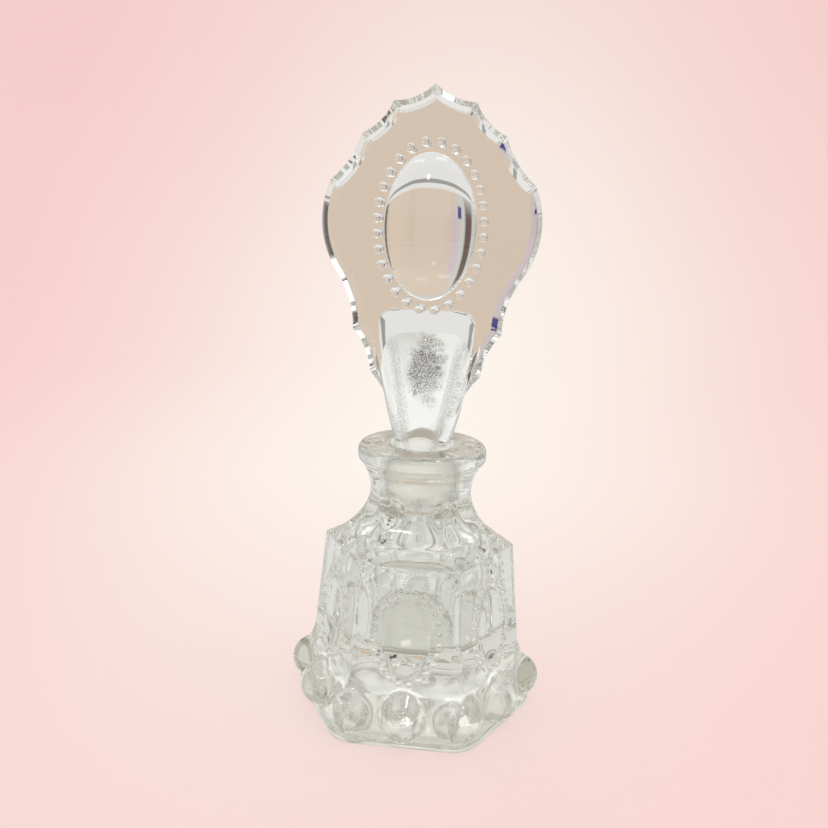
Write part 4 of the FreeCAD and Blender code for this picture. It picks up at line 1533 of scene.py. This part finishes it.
@dataclass
class Studio:
    """The pale floor that curves up all round, the soft lights and the camera."""

    floor_radius: float = 0.55
    cove_radius: float = 0.35
    wall_height: float = 0.95
    glow: float = 0.80
    glow_spread: tuple[float, float, float] = (0.32, 0.31, 0.50)
    glow_side: float = -0.03
    glow_near: float = 0.44
    glow_front: float = 0.25
    # Colours of the painted glow, by distance from its cream middle.
    shades: tuple[tuple[float, Colour], ...] = (
        (0.0, (0.955, 0.925, 0.858)),
        (0.45, (0.94, 0.858, 0.805)),
        (1.0, (0.922, 0.722, 0.688)),
        (1.5, (0.915, 0.645, 0.63)),
    )
    card_reach: float = 0.085
    card_top: float = 0.086
    card_swing: float = 100.0
    card_clear: Point = (0.032, 0.042)
    card_shades: tuple[Colour, Colour] = ((0.68, 0.685, 0.66), (0.98, 0.985, 0.96))
    card_spots: Colour = (0.13, 0.09, 0.065)
    card_foot: float = 0.002
    card_clouds_per_metre: float = 28.0
    card_spots_per_metre: float = 70.0
    camera_distance: float = 0.22904
    camera_height: float = 0.13676
    camera_azimuth: float = 5.31
    heading: float = -5.98
    pitch: float = -13.01
    roll: float = 2.11
    lens: float = 36.92

    def backdrop(self) -> None:
        """Make the floor and its surrounding cove as one turned sheet."""
        profile = [(0.0, 0.0), (0.1, 0.0), (0.3, 0.0)]
        profile += [(self.floor_radius + self.cove_radius * math.sin(a),
                     self.cove_radius * (1 - math.cos(a)))
                    for a in np.linspace(0.0, math.pi / 2, 17)]
        profile.append((self.floor_radius + self.cove_radius, self.wall_height))
        count = 96
        work = bmesh.new()
        rows = [[work.verts.new((r * math.sin(math.tau * i / count),
                                 r * math.cos(math.tau * i / count), z)) for i in range(count)]
                for r, z in profile[1:]]
        middle = work.verts.new((0.0, 0.0, 0.0))
        for i in range(count):
            j = (i + 1) % count
            work.faces.new((rows[0][i], rows[0][j], middle))
            for low, high in zip(rows, rows[1:]):
                work.faces.new((low[i], low[j], high[j], high[i]))
        for face in work.faces:
            face.smooth = True
        bmesh.ops.recalc_face_normals(work, faces=work.faces)
        mesh = bpy.data.meshes.new("pale_floor")
        work.to_mesh(mesh)
        work.free()
        floor = bpy.data.objects.new("pale_floor", mesh)
        bpy.context.scene.collection.objects.link(floor)
        mesh.materials.append(self._paper())
        floor.visible_transmission = False
        floor.visible_glossy = False

    def card(self) -> None:
        """Stand a pale card round behind the bottle, glowing with painted light, for its glass
        alone to look out at.
        """
        work = bmesh.new()
        turns = np.linspace(-self.card_swing, self.card_swing, 49)
        rows = [[work.verts.new((self.card_reach * math.sin(math.radians(t)),
                                 self.card_reach * math.cos(math.radians(t)), z))
                 for t in turns] for z in (self.card_foot, self.card_top)]
        for i in range(len(turns) - 1):
            work.faces.new((rows[0][i], rows[0][i + 1], rows[1][i + 1], rows[1][i]))
        mesh = bpy.data.meshes.new("pale_card")
        work.to_mesh(mesh)
        work.free()
        made = bpy.data.materials.new("pale_card")
        made.use_nodes = True
        desk = NodeDesk(made.node_tree)
        desk.nodes.remove(desk.nodes["Principled BSDF"])
        place = desk.put("ShaderNodeTexCoord").outputs["Object"]
        clouds = desk.noise(place, self.card_clouds_per_metre, 2.0)
        shade = desk.blend(desk.fade(clouds, 0.38, 0.62), *self.card_shades)
        split = desk.put("ShaderNodeSeparateXYZ")
        desk.links.new(place, split.inputs[0])
        aside = desk.fade(desk.maths("ABSOLUTE", split.outputs["X"]), *self.card_clear)
        spots = desk.fade(desk.noise(place, self.card_spots_per_metre, 1.0), 0.63, 0.67)
        shade = desk.blend(desk.maths("MULTIPLY", spots, aside), shade, self.card_spots)
        # Painted light: the card glows instead of being lit.
        glow = desk.put("ShaderNodeEmission")
        desk.links.new(shade, glow.inputs["Color"])
        desk.links.new(glow.outputs[0], desk.nodes["Material Output"].inputs["Surface"])
        mesh.materials.append(made)
        card = bpy.data.objects.new("pale_card", mesh)
        bpy.context.scene.collection.objects.link(card)
        for rays in ("camera", "diffuse", "glossy", "shadow"):
            setattr(card, "visible_" + rays, False)

    def _paper(self) -> bpy.types.Material:
        """Seamless paper that mostly glows with painted light, cream behind the object and rosier
        away from it; a fifth of it takes real light.

        Returns:
            The new material.
        """
        made = bpy.data.materials.new("seamless_paper")
        made.use_nodes = True
        desk = NodeDesk(made.node_tree)
        desk.nodes.remove(desk.nodes["Principled BSDF"])
        place = desk.put("ShaderNodeTexCoord").outputs["Object"]
        split = desk.put("ShaderNodeSeparateXYZ")
        desk.links.new(place, split.inputs[0])
        x, y, z = split.outputs
        aside = desk.maths("SUBTRACT", x, self.glow_side)
        short = desk.maths("MAXIMUM", desk.maths("SUBTRACT", self.glow_front, y), 0.0)
        total: object = 0.0
        narrow = desk.put("ShaderNodeMapRange")
        desk.links.new(y, narrow.inputs["Value"])
        for name, value in (("From Min", 0.0), ("From Max", 0.7),
                            ("To Min", self.glow_near * self.glow_spread[0]),
                            ("To Max", self.glow_spread[0])):
            narrow.inputs[name].default_value = value
        for value, spread in zip((aside, short, z), (narrow.outputs["Result"],
                                                     *self.glow_spread[1:])):
            share = desk.maths("DIVIDE", value, spread)
            total = desk.maths("MULTIPLY_ADD", share, share, total)
        away = desk.maths("SQRT", total)
        colour: object = self.shades[0][1]
        for (start, _), (end, shade) in zip(self.shades, self.shades[1:]):
            colour = desk.blend(desk.maths("DIVIDE", desk.maths("SUBTRACT", away, start),
                                           end - start), colour, shade)
        glow = desk.put("ShaderNodeEmission")
        glow.inputs["Strength"].default_value = self.glow
        matt = desk.put("ShaderNodeBsdfDiffuse")
        both = desk.put("ShaderNodeAddShader")
        for shader in (glow, matt):
            desk.links.new(colour, shader.inputs["Color"])
        desk.links.new(glow.outputs[0], both.inputs[0])
        desk.links.new(self._dimmed(desk, matt), both.inputs[1])
        desk.links.new(both.outputs[0], desk.nodes["Material Output"].inputs["Surface"])
        return made

    def _dimmed(self, desk: NodeDesk, shader: bpy.types.Node) -> bpy.types.NodeSocket:
        """Return a shader with only the share of light that the glow leaves.

        Args:
            desk: The paper's desk.
            shader: The shader to dim.

        Returns:
            The dimmed shader.
        """
        dark = desk.put("ShaderNodeBsdfTransparent")
        dark.inputs["Color"].default_value = (0.0, 0.0, 0.0, 1.0)
        mix = desk.put("ShaderNodeMixShader")
        mix.inputs["Fac"].default_value = 1.0 - self.glow
        desk.links.new(dark.outputs[0], mix.inputs[1])
        desk.links.new(shader.outputs[0], mix.inputs[2])
        return mix.outputs[0]

    @staticmethod
    def _softbox(name: str, place: Vector, size: Point, power: float, colour: Colour) -> None:
        """Hang one rectangular softbox that looks at the object's middle.

        Args:
            name: The light's name.
            place: Where it hangs.
            size: Its width and height in metres.
            power: Its power in watts.
            colour: Its colour.
        """
        data = bpy.data.lights.new(name, "AREA")
        data.shape = "RECTANGLE"
        data.size, data.size_y = size
        data.energy = power
        data.color = colour
        light = bpy.data.objects.new(name, data)
        light.location = place
        light.rotation_mode = "QUATERNION"
        light.rotation_quaternion = (Vector((0, 0, 0.08)) - place).to_track_quat("-Z", "Y")
        bpy.context.scene.collection.objects.link(light)

    def lights(self) -> None:
        """Hang the softboxes and set the room that the glass looks out at."""
        white = (1.0, 0.99, 0.975)
        self._softbox("top_softbox", Vector((0.28, -0.05, 0.95)), (0.12, 0.12), 0.8, white)
        self._softbox("front_softbox", Vector((-0.13, -0.75, 0.60)), (0.06, 0.07), 0.14, white)
        self._softbox("rear_softbox", Vector((-0.25, 0.7, 0.75)), (0.2, 0.14), 0.5, white)
        bpy.context.scene.world = Room().world()

    def camera(self) -> None:
        """Set the camera, slightly above the stopper and turned a little to the right."""
        data = bpy.data.cameras.new("camera")
        data.sensor_width = 36.0
        data.lens = self.lens
        data.clip_start, data.clip_end = 0.005, 10.0
        camera = bpy.data.objects.new("camera", data)
        bpy.context.scene.collection.objects.link(camera)
        turn, tilt, roll = (math.radians(a) for a in (self.heading, self.pitch, self.roll))
        forward = Vector((math.sin(turn) * math.cos(tilt), math.cos(turn) * math.cos(tilt),
                          math.sin(tilt)))
        level = Vector((math.cos(turn), -math.sin(turn), 0.0))
        above = level.cross(forward)
        right = math.cos(roll) * level + math.sin(roll) * above
        up = -math.sin(roll) * level + math.cos(roll) * above
        azimuth = math.radians(self.camera_azimuth)
        place = Vector((self.camera_distance * math.sin(azimuth),
                        -self.camera_distance * math.cos(azimuth), self.camera_height))
        basis = Matrix((right, up, -forward)).transposed()
        camera.matrix_world = Matrix.Translation(place) @ basis.to_4x4()
        bpy.context.scene.camera = camera


def light_paths() -> None:
    """Let light pass many glass surfaces, and keep the picture clean."""
    scene = bpy.context.scene
    scene.cycles.max_bounces = 40
    scene.cycles.transmission_bounces = 40
    scene.cycles.glossy_bounces = 12
    scene.cycles.diffuse_bounces = 4
    scene.cycles.caustics_reflective = True
    scene.cycles.caustics_refractive = True
    scene.cycles.sample_clamp_indirect = 3.0
    scene.cycles.use_denoising = True
    scene.view_settings.view_transform = "Standard"


def main() -> None:
    """Build the bottle, the stopper and the studio."""
    logging.basicConfig(level=logging.INFO, format="%(name)s: %(message)s")
    ground = GROUND_GLASS.material()
    worn_and_shaded = WORN_SHADED_GLASS.material()
    Bottle().build([BODY_GLASS.material(), ground, worn_and_shaded, HOLLOW_GLASS.material()])
    Stopper().build([STOPPER_GLASS.material(), ground])
    studio = Studio()
    studio.backdrop()
    studio.card()
    studio.lights()
    studio.camera()
    light_paths()


if __name__ == "__main__":
    main()
